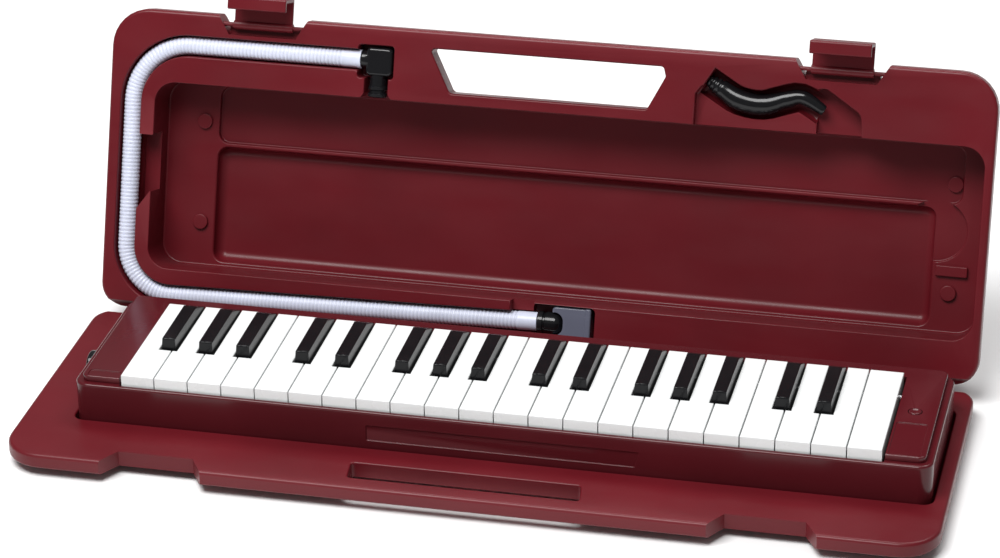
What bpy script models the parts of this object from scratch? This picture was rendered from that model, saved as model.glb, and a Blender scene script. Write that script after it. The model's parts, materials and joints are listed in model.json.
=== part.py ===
"""A 37-key melodica lying in its open moulded carrying case, with its hose and two mouthpieces.

Two empties hold everything. Under case_frame, X runs along the keyboard, Y runs back to the hinge
line and Z rises from the rim plane of the base. Under lid_frame, X is the same, Y runs up the lid
from the hinge line and Z comes out of its inner face. Every size is in metres.
"""

import math

import bmesh
import bpy
from mathutils import Matrix, Vector

# Case
CASE_HALF_WIDTH = 0.2548
CASE_DEPTH = 0.1746
CASE_CORNER = 0.022
NECK_CORNER = 0.014
RIM_HEIGHT = 0.0145
HINGE_Y = CASE_DEPTH / 2
RIM_GAP = 0.00025
HINGE_GAP = 0.0006
LID_LEAN = math.radians(19.25)
FLANGE = 0.009
LID_RIM = 0.0135

# Hinge and latches
PIN_RADIUS = 0.0015
KNUCKLE_RADIUS = 0.0042
HINGE_RELIEF = 0.0048
BORE_GAP = 0.0003
KNUCKLE = 0.014
HINGE_STATIONS = (-0.180, -0.060, 0.060, 0.180)
LATCH_WIDTH = 0.035
LATCH_PIVOT = (0.1695, -0.0030)
LATCH_PIN = 0.0012
LATCH_X = {"left": -0.1655, "right": 0.1675}
LATCH_ROOM = 0.0395
LATCH_NOTCH = 0.1636
BASE_NOTCH = -0.1620
CATCH_FLOOR = -0.0065

# Rooms in the floor of the lid's recess
ROOM_LEFT = -0.1965
ROOM_RIGHT = 0.2225
WHITE_ROOM = -0.0322
BLACK_ROOM = -0.0368

# Hose and mouthpieces, in the lid's channel and pockets
HOSE_RADIUS = 0.0055
HOSE_DEPTH = -0.0063
CHANNEL_HALF = 0.0060
CHANNEL_FLOOR = -0.0124
HOSE_X = -0.242
HOSE_TOP = 0.1552
HOSE_LOW = 0.0095
HOSE_START = -0.1073
HOSE_END = 0.0040
TOUCH = 0.0003
ELBOW_X = -0.0972
FERRULE_RADIUS = 0.0062
MOUTH_FLOOR = -0.0128

# Instrument body
BODY_LEFT = -0.2255
BODY_RIGHT = 0.2460
BODY_FRONT = -0.1303
BODY_BACK = -0.0263
BODY_FLOOR = -0.0115
BODY_TOP = 0.0211
BODY_CORNER = 0.008
COVER_TOP = 0.0245
LEDGE = 0.004
PLAY = 0.0011

# Keyboard
PITCH = 0.019
KEYS_LEFT = -0.1986
WHITE_NAMES = "FGABCDE"
WHITE_COUNT = 22
BLACK_SHIFT = {"F": -0.0023, "G": 0.0, "A": 0.0023, "C": -0.0018, "D": 0.0018}
FIRST_OCTAVE = 3
KEY_GAP = 0.0007
NECK_GAP = 0.0013
KEY_FRONT = -0.1273
KEY_BACK = -0.0398
KEY_TOP = 0.0275
KEY_BOTTOM = 0.0181
KEY_SKIN = 0.0023
KEY_SIDE = 0.0016
TAIL_END = -0.0300
TAIL_TOP = 0.0193
PAD_BOTTOM = 0.0142
BLACK_WIDTH = 0.0090
BLACK_FRONT = -0.0931
BLACK_BACK = -0.0521
BLACK_TOP = 0.0337
BLACK_TAPER = 0.82
SHAFT_Y = -0.0560
SHAFT_Z = 0.0205
HUB_FRONT = -0.0620

# Air chamber
CHAMBER_TOP = 0.0139
CHAMBER_FRONT = -0.1040
CHAMBER_BACK = -0.0290
CHAMBER_LEFT = -0.2000
CHAMBER_RIGHT = 0.2380
CHAMBER_WALL = 0.0020
CASE_FLOOR = BODY_FLOOR + 0.0022
INLET_Y = -0.0840
INLET_Z = 0.0075
DRAIN_X = 0.2300
DRAIN_Y = -0.0770

MAROON = (0.150, 0.012, 0.020)


def clear_scene():
    for obj in list(bpy.data.objects):
        bpy.data.objects.remove(obj, do_unlink=True)


def collection(name):
    made = bpy.data.collections.new(name)
    bpy.context.scene.collection.children.link(made)
    return made


def frame(name, lean):
    """An empty on the hinge line, at the height of the rim."""
    empty = bpy.data.objects.new(name, None)
    PARTS.objects.link(empty)
    empty.location = (0, HINGE_Y, RIM_HEIGHT)
    empty.rotation_euler = (lean, 0, 0)
    return empty


def material(name, color, roughness, metallic=0.0):
    made = bpy.data.materials.new(name)
    made.use_nodes = True
    shader = made.node_tree.nodes["Principled BSDF"]
    shader.inputs["Base Color"].default_value = (*color, 1)
    shader.inputs["Roughness"].default_value = roughness
    shader.inputs["Metallic"].default_value = metallic
    return made


# Shapes


def add(name, mesh):
    obj = bpy.data.objects.new(name, mesh)
    CUTTERS.objects.link(obj)
    return obj


def from_bmesh(name, bm):
    mesh = bpy.data.meshes.new(name)
    bmesh.ops.recalc_face_normals(bm, faces=bm.faces)
    bm.to_mesh(mesh)
    bm.free()
    return add(name, mesh)


def from_curve(name, curve):
    """The curve's solid as a mesh, with its caps welded."""
    source = bpy.data.objects.new(name, curve)
    CUTTERS.objects.link(source)
    graph = bpy.context.evaluated_depsgraph_get()
    mesh = bpy.data.meshes.new_from_object(source.evaluated_get(graph))
    bpy.data.objects.remove(source, do_unlink=True)
    bm = bmesh.new()
    bm.from_mesh(mesh)
    bmesh.ops.remove_doubles(bm, verts=bm.verts, dist=1e-6)
    return from_bmesh(name, bm)


def box(name, low, high):
    bm = bmesh.new()
    bmesh.ops.create_cube(bm, size=1)
    low, high = Vector(low), Vector(high)
    bmesh.ops.scale(bm, vec=high - low, verts=bm.verts)
    bmesh.ops.translate(bm, vec=(low + high) / 2, verts=bm.verts)
    return from_bmesh(name, bm)


def rod(name, start, end, radius, sides=16):
    start, end = Vector(start), Vector(end)
    bm = bmesh.new()
    bmesh.ops.create_cone(
        bm, cap_ends=True, segments=sides, radius1=radius, radius2=radius, depth=(end - start).length
    )
    turn = (end - start).to_track_quat("Z", "Y").to_matrix().to_4x4()
    bmesh.ops.transform(bm, matrix=Matrix.Translation((start + end) / 2) @ turn, verts=bm.verts)
    return from_bmesh(name, bm)


def plate(name, outline, low, high, across=False):
    """A flat outline with thickness: (x, y) points raised in Z or, across, (y, z) points along X."""
    curve = bpy.data.curves.new(name, "CURVE")
    curve.dimensions = "2D"
    curve.fill_mode = "BOTH"
    curve.extrude = (high - low) / 2
    spline = curve.splines.new("POLY")
    spline.points.add(len(outline) - 1)
    for point, (x, y) in zip(spline.points, outline):
        point.co = (x, y, 0, 1)
    spline.use_cyclic_u = True
    obj = from_curve(name, curve)
    obj.data.transform(Matrix.Translation((0, 0, (low + high) / 2)))
    if across:
        obj.data.transform(Matrix(((0, 0, 1, 0), (1, 0, 0, 0), (0, 1, 0, 0), (0, 0, 0, 1))))
    return obj


def tube(name, points, radius, resolution=2, radii=None):
    curve = bpy.data.curves.new(name, "CURVE")
    curve.dimensions = "3D"
    curve.bevel_depth = radius
    curve.bevel_resolution = resolution
    curve.use_fill_caps = True
    spline = curve.splines.new("POLY")
    spline.points.add(len(points) - 1)
    for i, point in enumerate(points):
        spline.points[i].co = (*point, 1)
        spline.points[i].radius = radii[i] if radii else 1
    return from_curve(name, curve)


def turned(name, profile, at, direction, steps=20):
    """Profile of (radius, height) from top to bottom, turned round an axis through at."""
    bm = bmesh.new()
    points = [bm.verts.new((radius, 0, height)) for radius, height in profile]
    for first, second in zip(points, points[1:]):
        bm.edges.new((first, second))
    mesh = bpy.data.meshes.new(name)
    bm.to_mesh(mesh)
    bm.free()
    obj = add(name, mesh)
    screw = obj.modifiers.new("Turn", "SCREW")
    screw.steps = steps
    screw.render_steps = steps
    screw.use_merge_vertices = True
    screw.merge_threshold = 0.00001
    turn = Vector(direction).to_track_quat("Z", "Y").to_matrix().to_4x4()
    solid = baked(obj)
    solid.data.transform(Matrix.Translation(at) @ turn)
    return solid


def rounded(corners, radius, steps=5):
    """The outline of a convex polygon, counter-clockwise, with its corners rounded.

    radius is one number or one for each corner, and 0 keeps a corner sharp.
    """
    radii = radius if isinstance(radius, (list, tuple)) else [radius] * len(corners)
    outline = []
    for i, (corner, size) in enumerate(zip(corners, radii)):
        corner = Vector(corner)
        before = (Vector(corners[i - 1]) - corner).normalized()
        after = (Vector(corners[(i + 1) % len(corners)]) - corner).normalized()
        if size == 0:
            outline.append(tuple(corner))
            continue
        half = before.angle(after) / 2
        centre = corner + (before + after).normalized() * size / math.sin(half)
        start = corner + before * size / math.tan(half) - centre
        sweep = math.pi - 2 * half
        for step in range(steps + 1):
            turn = Matrix.Rotation(sweep * step / steps, 2)
            outline.append(tuple(centre + turn @ start))
    return outline


def rectangle(left, right, front, back, radius=0.0, steps=5):
    corners = [(left, front), (right, front), (right, back), (left, back)]
    return rounded(corners, radius, steps)


def ribbon(route, half):
    """The outline of a band of even width along a route of (x, y) points."""
    left, right = [], []
    for i, point in enumerate(route):
        here = Vector(point)
        ahead = Vector(route[min(i + 1, len(route) - 1)]) - Vector(route[max(i - 1, 0)])
        side = Vector((-ahead.y, ahead.x)).normalized() * half
        left.append(tuple(here + side))
        right.append(tuple(here - side))
    return right + left[::-1]


# Joining, cutting and placing


def baked(obj):
    """The object's evaluated shape as a plain mesh, in its place."""
    graph = bpy.context.evaluated_depsgraph_get()
    mesh = bpy.data.meshes.new_from_object(obj.evaluated_get(graph))
    name = obj.name
    bpy.data.objects.remove(obj, do_unlink=True)
    return add(name, mesh)


def boolean(obj, others, operation):
    for other in others:
        modifier = obj.modifiers.new(operation.title(), "BOOLEAN")
        modifier.operation = operation
        modifier.object = other
        modifier.solver = "EXACT"
    obj = baked(obj)
    for other in others:
        bpy.data.objects.remove(other, do_unlink=True)
    return obj


def join(obj, *others):
    return boolean(obj, others, "UNION")


def cut(obj, *others):
    return boolean(obj, others, "DIFFERENCE")


def bevel(obj, width, segments=2):
    modifier = obj.modifiers.new("Bevel", "BEVEL")
    modifier.width = width
    modifier.segments = segments
    modifier.limit_method = "ANGLE"
    modifier.angle_limit = math.radians(60)
    return baked(obj)


def finish(obj, name, surface, parent, origin=(0, 0, 0)):
    """Makes the shape a part: named, coloured, parented, and with its origin on its own axis."""
    obj.name = obj.data.name = name
    obj.data.transform(Matrix.Translation(-Vector(origin)))
    obj.location = origin
    obj.data.materials.clear()
    obj.data.materials.append(surface)
    obj.data.shade_smooth()
    obj.data.set_sharp_from_angle(angle=math.radians(35))
    CUTTERS.objects.unlink(obj)
    PARTS.objects.link(obj)
    obj.parent = parent
    return obj


# Case


def case_outline(front_is_up):
    """The plan of one case half: large corners at the handle side, small ones at the hinge."""
    near, far = HINGE_GAP, CASE_DEPTH
    if front_is_up:
        corners = [
            (-CASE_HALF_WIDTH, near),
            (CASE_HALF_WIDTH, near),
            (CASE_HALF_WIDTH, far),
            (-CASE_HALF_WIDTH, far),
        ]
        return rounded(corners, [NECK_CORNER, NECK_CORNER, CASE_CORNER, CASE_CORNER])
    corners = [
        (-CASE_HALF_WIDTH, -far),
        (CASE_HALF_WIDTH, -far),
        (CASE_HALF_WIDTH, -near),
        (-CASE_HALF_WIDTH, -near),
    ]
    return rounded(corners, [CASE_CORNER, CASE_CORNER, NECK_CORNER, NECK_CORNER])


def knuckles(offsets, web_low, web_high):
    """Hinge knuckles at each station, each on a small web into the rim."""
    shapes = []
    for station in HINGE_STATIONS:
        for offset in offsets:
            left = station + offset - KNUCKLE / 2 + TOUCH
            right = station + offset + KNUCKLE / 2 - TOUCH
            shapes.append(rod("knuckle", (left, 0, 0), (right, 0, 0), KNUCKLE_RADIUS, 14))
            shapes.append(box("web", (left, *web_low), (right, *web_high)))
    return shapes


def hinge_line(radius):
    reach = CASE_HALF_WIDTH + 0.01
    return rod("hinge_line", (-reach, 0, 0), (reach, 0, 0), radius, 16)


def notch(middle, width, deep, shallow):
    """A cutter for a latch notch in an edge, with a slope at each end."""
    left, right = middle - width / 2, middle + width / 2
    slope = abs(shallow - deep) * 0.6
    outline = [(left, deep), (right, deep), (right + slope, shallow), (left - slope, shallow)]
    if deep > shallow:
        outline.reverse()
    return plate("notch", outline, -0.03, 0.01)


def make_case_base():
    slab = bevel(plate("slab", case_outline(False), -FLANGE, -RIM_GAP), 0.0022)
    tray_outline = rectangle(BODY_LEFT - 0.007, 0.2525, -0.138, -0.018, 0.008, 3)
    tray = bevel(plate("tray", tray_outline, -RIM_HEIGHT, -FLANGE + 0.002), 0.0015, 1)
    base = join(slab, tray)
    well = plate(
        "well",
        rectangle(BODY_LEFT - PLAY, BODY_RIGHT + PLAY, BODY_FRONT - PLAY, BODY_BACK + PLAY, 0.006, 3),
        BODY_FLOOR - TOUCH,
        0.01,
    )
    catches = []
    for x in LATCH_X.values():
        reach = LATCH_WIDTH / 2 + 0.0015
        catches.append(box("catch", (x - reach, -0.1570, -0.0200), (x + reach, -0.1490, CATCH_FLOOR)))
    grip = [(-0.0615, -0.1640), (0.0650, -0.1640), (0.0625, -0.1480), (-0.0635, -0.1480)]
    base = cut(
        base,
        well,
        plate("grip", rounded(grip, 0.0022, 3), -0.02, 0.01),
        notch(-0.1690, 0.0420, BASE_NOTCH, -0.1800),
        notch(0.1635, 0.0430, BASE_NOTCH, -0.1800),
        *catches,
        rod("inlet_relief", (-0.2345, INLET_Y, INLET_Z), (-0.220, INLET_Y, INLET_Z), 0.0093, 24),
        hinge_line(HINGE_RELIEF),
    )
    base = join(base, *knuckles((-KNUCKLE, KNUCKLE), (-0.0075, -0.0052), (-0.0010, -0.0012)))
    base = cut(base, hinge_line(PIN_RADIUS + BORE_GAP))
    finish(base, "case_base", SURFACES["case"], CASE_FRAME)


def hose_route():
    """The hose's path on the lid, from the elbow round the left end to the lower connector."""
    turns = [
        (HOSE_START, HOSE_TOP, 0),
        (HOSE_X, HOSE_TOP, 0.034),
        (HOSE_X, HOSE_LOW, 0.028),
        (HOSE_END, HOSE_LOW + 0.0044, 0),
    ]
    route = [turns[0][:2]]
    for i in (1, 2):
        corner = Vector(turns[i][:2])
        before = (Vector(turns[i - 1][:2]) - corner).normalized()
        after = (Vector(turns[i + 1][:2]) - corner).normalized()
        radius = turns[i][2]
        half = before.angle(after) / 2
        centre = corner + (before + after).normalized() * radius / math.sin(half)
        start = corner + before * radius / math.tan(half) - centre
        sweep = math.pi - 2 * half
        for step in range(11):
            route.append(tuple(centre + Matrix.Rotation(sweep * step / 10, 2) @ start))
    route.append(turns[3][:2])
    return route


def handle_outline():
    corners = [(-0.0540, 0.1400), (0.0595, 0.1400), (0.0690, 0.1590), (0.0675, 0.1645), (-0.0668, 0.1645)]
    return rounded(corners, [0.003, 0.003, 0.002, 0.002, 0.002], 3)


def lid_feet():
    """Two blocks on the lid's lower back edge that stand on the table when the lid is open."""
    depth = -0.0420
    bottom = (-RIM_HEIGHT + 0.0001 - depth * math.sin(LID_LEAN)) / math.cos(LID_LEAN)
    feet = []
    for x in (-0.150, 0.150):
        feet.append(box("foot", (x - 0.02, bottom, depth), (x + 0.02, 0.045, -0.0300)))
        feet.append(box("foot_root", (x - 0.02, 0.006, -0.0320), (x + 0.02, 0.045, -0.0120)))
    return feet


def make_case_lid():
    rim = bevel(plate("rim", case_outline(True), -LID_RIM, -RIM_GAP), 0.0026)
    upper = rectangle(-0.2370, 0.2525, 0.0230, 0.1365, 0.010, 4)
    shoulder = bevel(plate("shoulder", upper, -0.0350, -LID_RIM + 0.003), 0.003)
    lower = rectangle(-0.1995, 0.2390, 0.0255, 0.0985, 0.008, 4)
    back = bevel(plate("back", lower, -0.0395, -0.0330), 0.003)
    behind_pocket = rectangle(0.0830, 0.1850, 0.1280, 0.1668, 0.006, 3)
    cover = bevel(plate("pocket_cover", behind_pocket, -0.0152, -0.0110), 0.0015)
    lid = join(rim, shoulder, back, cover, *lid_feet())
    route = hose_route()
    elbow_way = [
        (-0.1065, 0.1300),
        (-0.0875, 0.1300),
        (-0.0875, 0.1325),
        (-0.0902, 0.1362),
        (-0.0902, 0.1500),
        (-0.1040, 0.1500),
        (-0.1040, 0.1362),
        (-0.1065, 0.1325),
    ]
    finger_shelf = [(0.0865, 0.1300), (0.1552, 0.1300), (0.1552, 0.1480), (0.0900, 0.1560), (0.0865, 0.1510)]
    finger_well = [
        (0.1548, 0.1300),
        (0.1812, 0.1300),
        (0.1797, 0.1462),
        (0.1600, 0.1590),
        (0.1500, 0.1590),
        (0.1548, 0.1476),
    ]
    notch_plan = [(-0.2365, 0.0570), (-0.2250, 0.0730), (-0.2250, 0.1030), (-0.2365, 0.1030)]
    lid = cut(
        lid,
        plate("opening", rectangle(-0.2275, 0.2498, 0.0256, 0.1335, 0.012, 5), -0.0288, 0.01),
        plate("white_key_room", rectangle(ROOM_LEFT, 0.2365, 0.0980, 0.1310, 0.006, 3), WHITE_ROOM, -0.02),
        plate("black_key_room", rectangle(ROOM_LEFT, ROOM_RIGHT, 0.0285, 0.0955, 0.006, 3), BLACK_ROOM, -0.02),
        plate("button_room", rectangle(0.1900, 0.2405, 0.0645, 0.1000, 0.0165, 6), WHITE_ROOM, -0.02),
        plate("handle", handle_outline(), -0.03, 0.01),
        plate("channel", ribbon(route, CHANNEL_HALF), CHANNEL_FLOOR, 0.01),
        plate("elbow_pocket", rectangle(-0.1085, -0.0874, 0.1450, 0.1640, 0.002, 2), CHANNEL_FLOOR, 0.01),
        plate("elbow_way", elbow_way, CHANNEL_FLOOR, 0.01),
        plate("end_pocket", rectangle(0.0010, 0.0378, 0.0040, 0.0249, 0.003, 3), -0.0130, 0.01),
        plate("finger_dip", rectangle(-0.0112, 0.0022, 0.0100, 0.0300, 0.002, 2), -0.0070, 0.01),
        plate("mouthpiece_groove", ribbon(mouthpiece_route(), 0.0084), MOUTH_FLOOR, 0.01),
        plate("finger_shelf", finger_shelf, -0.0055, 0.01),
        plate("finger_well", finger_well, MOUTH_FLOOR + 0.0002, 0.01),
        plate("inlet_notch", notch_plan, -0.0175, 0.01),
        *(notch(x, LATCH_ROOM, LATCH_NOTCH, 0.1800) for x in LATCH_X.values()),
        hinge_line(HINGE_RELIEF),
    )
    bosses = [(-0.205, 0.110), (-0.205, 0.051), (0.2325, 0.048)]
    studs = [rod("boss", (x, y, -0.0300), (x, y, -0.0268), 0.0045, 14) for x, y in bosses]
    studs.append(rod("boss", (0.2320, 0.1090, WHITE_ROOM - 0.001), (0.2320, 0.1090, -0.0302), 0.0045, 14))
    webs = []
    for x in LATCH_X.values():
        reach = LATCH_ROOM / 2 + 0.001
        webs.append(box("web", (x - reach, 0.1610, -0.0132), (x + reach, 0.1672, -0.0064)))
    shelf = box("shelf", (0.2245, 0.0575, -0.0300), (0.2425, 0.0635, -0.0265))
    lid = join(lid, shelf, *studs, *webs, *knuckles((0,), (0.0010, -0.0080), (0.0031, -0.0020)))
    cuts = [hinge_line(PIN_RADIUS + BORE_GAP)]
    for x in LATCH_X.values():
        reach = LATCH_WIDTH / 2 + 0.0085
        cuts.append(rod("latch_bore", (x - reach, *LATCH_PIVOT), (x + reach, *LATCH_PIVOT), 0.0015, 12))
    lid = cut(lid, *cuts)
    finish(lid, "case_lid", SURFACES["case"], LID_FRAME)


def make_hinge_pin():
    reach = HINGE_STATIONS[-1] + 1.5 * KNUCKLE + 0.002
    pin = rod("pin", (-reach, 0, 0), (reach, 0, 0), PIN_RADIUS, 12)
    finish(pin, "case_hinge_pin", SURFACES["steel"], CASE_FRAME)


def make_latches():
    """Each latch turns on a pin in its notch; closed, its lip hooks under the base's flange."""
    up, out = LATCH_PIVOT
    half, height, reach, wall, lip = 0.0011, 0.0172, 0.0172, 0.0022, 0.0098
    profile = [
        (up + half, out - half),
        (up + height, out - half),
        (up + height, out + reach),
        (up + lip, out + reach),
        (up + lip, out + reach - wall),
        (up + height - wall, out + reach - wall),
        (up + height - wall, out + half),
        (up + half, out + half),
    ]
    for side, x in LATCH_X.items():
        left, right = x - LATCH_WIDTH / 2, x + LATCH_WIDTH / 2
        arm_solid = plate("arm", profile, left + TOUCH, right - TOUCH, across=True)
        barrel = rod("barrel", (left, up, out), (right, up, out), 0.0026, 16)
        latch = join(barrel, arm_solid)
        bore = rod("bore", (left - 0.01, up, out), (right + 0.01, up, out), LATCH_PIN + BORE_GAP, 12)
        latch = cut(latch, bore)
        finish(latch, "latch_" + side, SURFACES["case"], LID_FRAME, (x, up, out))
        pin = rod("pin", (left - 0.0075, up, out), (right + 0.0075, up, out), LATCH_PIN, 10)
        finish(pin, "latch_pin_" + side, SURFACES["case"], LID_FRAME)


# Hose and mouthpieces


def make_hose():
    route = [(x, y, HOSE_DEPTH) for x, y in hose_route()]
    finish(tube("hose", route, HOSE_RADIUS, 3), "hose", SURFACES["hose"], LID_FRAME)


def make_hose_elbow():
    left = HOSE_START + TOUCH
    block = bevel(box("block", (left + 0.0030, 0.1463, -0.0119), (-0.0884, 0.1626, -0.0010)), 0.0018, 2)
    collar = rod("collar", (left, HOSE_TOP, HOSE_DEPTH), (left + 0.008, HOSE_TOP, HOSE_DEPTH), 0.0054, 18)
    arm = rod("arm", (ELBOW_X, 0.1500, HOSE_DEPTH), (ELBOW_X, 0.1340, HOSE_DEPTH), 0.0055, 18)
    finish(join(block, collar, arm), "hose_elbow", SURFACES["black"], LID_FRAME)


def make_hose_ferrule():
    """The connector on the hose's lower end: a short barrel with a domed nose."""
    barrel, nose = 0.0100, 0.0045
    profile = [(0, barrel + nose)]
    for step in range(1, 6):
        angle = math.pi / 2 * step / 5
        profile.append((FERRULE_RADIUS * math.sin(angle), barrel + nose * math.cos(angle)))
    profile += [(FERRULE_RADIUS, 0), (0, 0)]
    at = (HOSE_END + TOUCH, HOSE_LOW + 0.0045, HOSE_DEPTH)
    finish(turned("ferrule", profile, at, (1, 0, 0)), "hose_ferrule", SURFACES["black"], LID_FRAME)


def make_hose_mouthpiece():
    """A flat mouthpiece whose open socket holds the connector's nose."""
    mouth = bevel(box("mouth", (0.0128, 0.0064, -0.0116), (0.0353, 0.0243, -0.0010)), 0.0020, 3)
    middle, half = HOSE_LOW + 0.0045, FERRULE_RADIUS + 0.0004
    corners = [(0.0090, middle - half), (0.0193, middle - half), (0.0193, middle + half), (0.0090, middle + half)]
    socket = rounded(corners, [0, 0.0050, 0.0050, 0], 5)
    mouth = cut(mouth, plate("socket", socket, -0.0150, 0.0))
    finish(mouth, "hose_mouthpiece", SURFACES["black"], LID_FRAME)


def mouthpiece_route():
    """The short mouthpiece's middle line on the lid, from its socket end to its lips."""
    knots = [
        (0.0925, 0.1588),
        (0.1010, 0.1538),
        (0.1110, 0.1486),
        (0.1240, 0.1472),
        (0.1360, 0.1508),
        (0.1460, 0.1528),
        (0.1585, 0.1464),
    ]
    steps = 18
    route = []
    for i in range(steps + 1):
        place = i / steps * (len(knots) - 1)
        k = min(int(place), len(knots) - 2)
        t = place - k
        quad = [knots[max(0, min(len(knots) - 1, k + j))] for j in (-1, 0, 1, 2)]
        point = []
        for a, b, c, d in zip(*quad):
            bend = (2 * a - 5 * b + 4 * c - d) * t**2 + (3 * b - a - 3 * c + d) * t**3
            point.append(0.5 * (2 * b + (c - a) * t + bend))
        route.append(tuple(point))
    return route


def make_short_mouthpiece():
    """A swan-necked mouthpiece: a slim socket end, a thick middle and narrow lips."""
    sizes = [0.62, 0.95, 1.14, 1.10, 0.88, 0.74, 0.56]
    route = mouthpiece_route()
    radii = []
    for i in range(len(route)):
        place = i / (len(route) - 1) * (len(sizes) - 1)
        k = min(int(place), len(sizes) - 2)
        radii.append(sizes[k] + (sizes[k + 1] - sizes[k]) * (place - k))
    shape = tube("mouthpiece", [(x, y, 0) for x, y in route], 0.0060, 3, radii)
    shape.data.transform(Matrix.Translation((0, 0, -0.0068)) @ Matrix.Diagonal((1, 1, 0.82, 1)))
    finish(shape, "short_mouthpiece", SURFACES["black"], LID_FRAME)


# Instrument body


def keys_right():
    return KEYS_LEFT + WHITE_COUNT * PITCH


def body_outline(inset):
    corner = max(BODY_CORNER - inset, 0.0015)
    return rectangle(BODY_LEFT + inset, BODY_RIGHT - inset, BODY_FRONT + inset, BODY_BACK - inset, corner, 5)


def make_bottom_case():
    shell = bevel(plate("shell", body_outline(0), BODY_FLOOR, BODY_TOP), 0.0012, 2)
    ledge, high = 0.0055, 0.03
    ends = rectangle(BODY_LEFT + ledge, BODY_RIGHT - ledge, BODY_FRONT + ledge, BODY_BACK - 0.0022)
    keys = rectangle(KEYS_LEFT - 0.0010, keys_right() + 0.0010, BODY_FRONT + 0.002, BODY_BACK - 0.002)
    wall = BODY_LEFT - 0.01
    shell = cut(
        shell,
        plate("end_hollow", ends, CASE_FLOOR, high),
        plate("key_hollow", keys, CASE_FLOOR, high),
        rod("inlet_hole", (wall, INLET_Y, INLET_Z), (BODY_LEFT + 0.01, INLET_Y, INLET_Z), 0.0074, 24),
        box("plaque", (-0.0600, BODY_FRONT - 0.01, 0.0040), (0.0860, BODY_FRONT + 0.0007, 0.0130)),
    )
    rail = (KEYS_LEFT, BODY_FRONT + 0.0070, CASE_FLOOR - 0.0005), (keys_right(), -0.1170, 0.0105)
    finish(join(shell, box("felt_rail", *rail)), "bottom_case", SURFACES["body"], CASE_FRAME)


def make_top_cover():
    """Two cheeks and the strip behind the keys, in one U-shaped moulding."""
    low = BODY_TOP + TOUCH
    left, right = BODY_LEFT + LEDGE, BODY_RIGHT - LEDGE
    front, back = BODY_FRONT + LEDGE, BODY_BACK - 0.0012
    strip = KEY_BACK + 0.0005
    inner_left, inner_right = KEYS_LEFT - 0.0012, keys_right() + 0.0012
    outer = rectangle(left, right, front, back, 0.004, 4)
    cover = bevel(plate("cover", outer, low, COVER_TOP), 0.0008, 2)
    cover = cut(cover, box("key_gap", (inner_left, front - 0.01, 0), (inner_right, strip, 0.05)))
    wall, step = 0.0022, 0.0002
    walls = []
    for a, b in ((inner_left - wall, inner_left - step), (inner_right + step, inner_right + wall)):
        walls.append(box("cheek_wall", (a, BODY_FRONT + 0.0070, 0.0150), (b, -0.0330, low + 0.001)))
    cover = join(cover, *walls)
    reach = 0.25
    cover = cut(
        cover,
        rod("shaft_hole", (-reach, SHAFT_Y, SHAFT_Z), (reach, SHAFT_Y, SHAFT_Z), 0.0018, 12),
        rod("drain_well", (DRAIN_X, DRAIN_Y, 0), (DRAIN_X, DRAIN_Y, 0.05), 0.0040, 20),
        box("cheek_panel", (inner_right + 0.0012, front + 0.0012, COVER_TOP - 0.0005), (0.2385, -0.0900, 0.05)),
        box("cheek_panel_left", (-0.2185, front + 0.0012, COVER_TOP - 0.0005), (inner_left - 0.0012, -0.1185, 0.05)),
    )
    finish(cover, "top_cover", SURFACES["body"], CASE_FRAME)


# Keys


def keyboard():
    """Every key from left to right: (name, kind, left, right, tail left, tail right)."""
    keys = []
    octave = FIRST_OCTAVE
    for i in range(WHITE_COUNT):
        note = WHITE_NAMES[i % 7]
        if note == "C":
            octave += 1
        left = KEYS_LEFT + i * PITCH
        right = left + PITCH
        before = WHITE_NAMES[(i - 1) % 7]
        tail_left, tail_right = left + KEY_GAP / 2, right - KEY_GAP / 2
        if i and before in BLACK_SHIFT:
            tail_left = left + BLACK_SHIFT[before] + BLACK_WIDTH / 2 + KEY_GAP
        if i < WHITE_COUNT - 1 and note in BLACK_SHIFT:
            centre = right + BLACK_SHIFT[note]
            tail_right = centre - BLACK_WIDTH / 2 - KEY_GAP
            keys.append((f"key_{note}_sharp_{octave}", "black", centre, centre, 0, 0))
        keys.append((f"key_{note}_{octave}", "white", left, right, tail_left, tail_right))
    return keys


def white_outline(left, right, tail_left, tail_right, inset, back):
    """The plan of a white key: a wide head, and a tail between the black keys."""
    a, b = left + KEY_GAP / 2 + inset, right - KEY_GAP / 2 - inset
    c, d = tail_left + inset, tail_right - inset
    front, neck = KEY_FRONT + inset, BLACK_FRONT - NECK_GAP - inset
    outline = [(a, front), (b, front)]
    if d < b - 1e-6:
        outline += [(b, neck), (d, neck)]
    outline += [(d, back), (c, back)]
    if c > a + 1e-6:
        outline += [(c, neck), (a, neck)]
    return outline


def tail_profile():
    """The side view behind the visible key: the hub on the shaft, and the arm down to the pad."""
    return [
        (KEY_BACK, TAIL_TOP),
        (TAIL_END, TAIL_TOP),
        (TAIL_END, PAD_BOTTOM),
        (-0.0410, PAD_BOTTOM),
        (-0.0500, 0.0176),
        (HUB_FRONT, 0.0176),
    ]


def shaft_bore(left, right):
    start, end = (left - 0.01, SHAFT_Y, SHAFT_Z), (right + 0.01, SHAFT_Y, SHAFT_Z)
    return rod("shaft_bore", start, end, PIN_RADIUS + BORE_GAP, 10)


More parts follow.
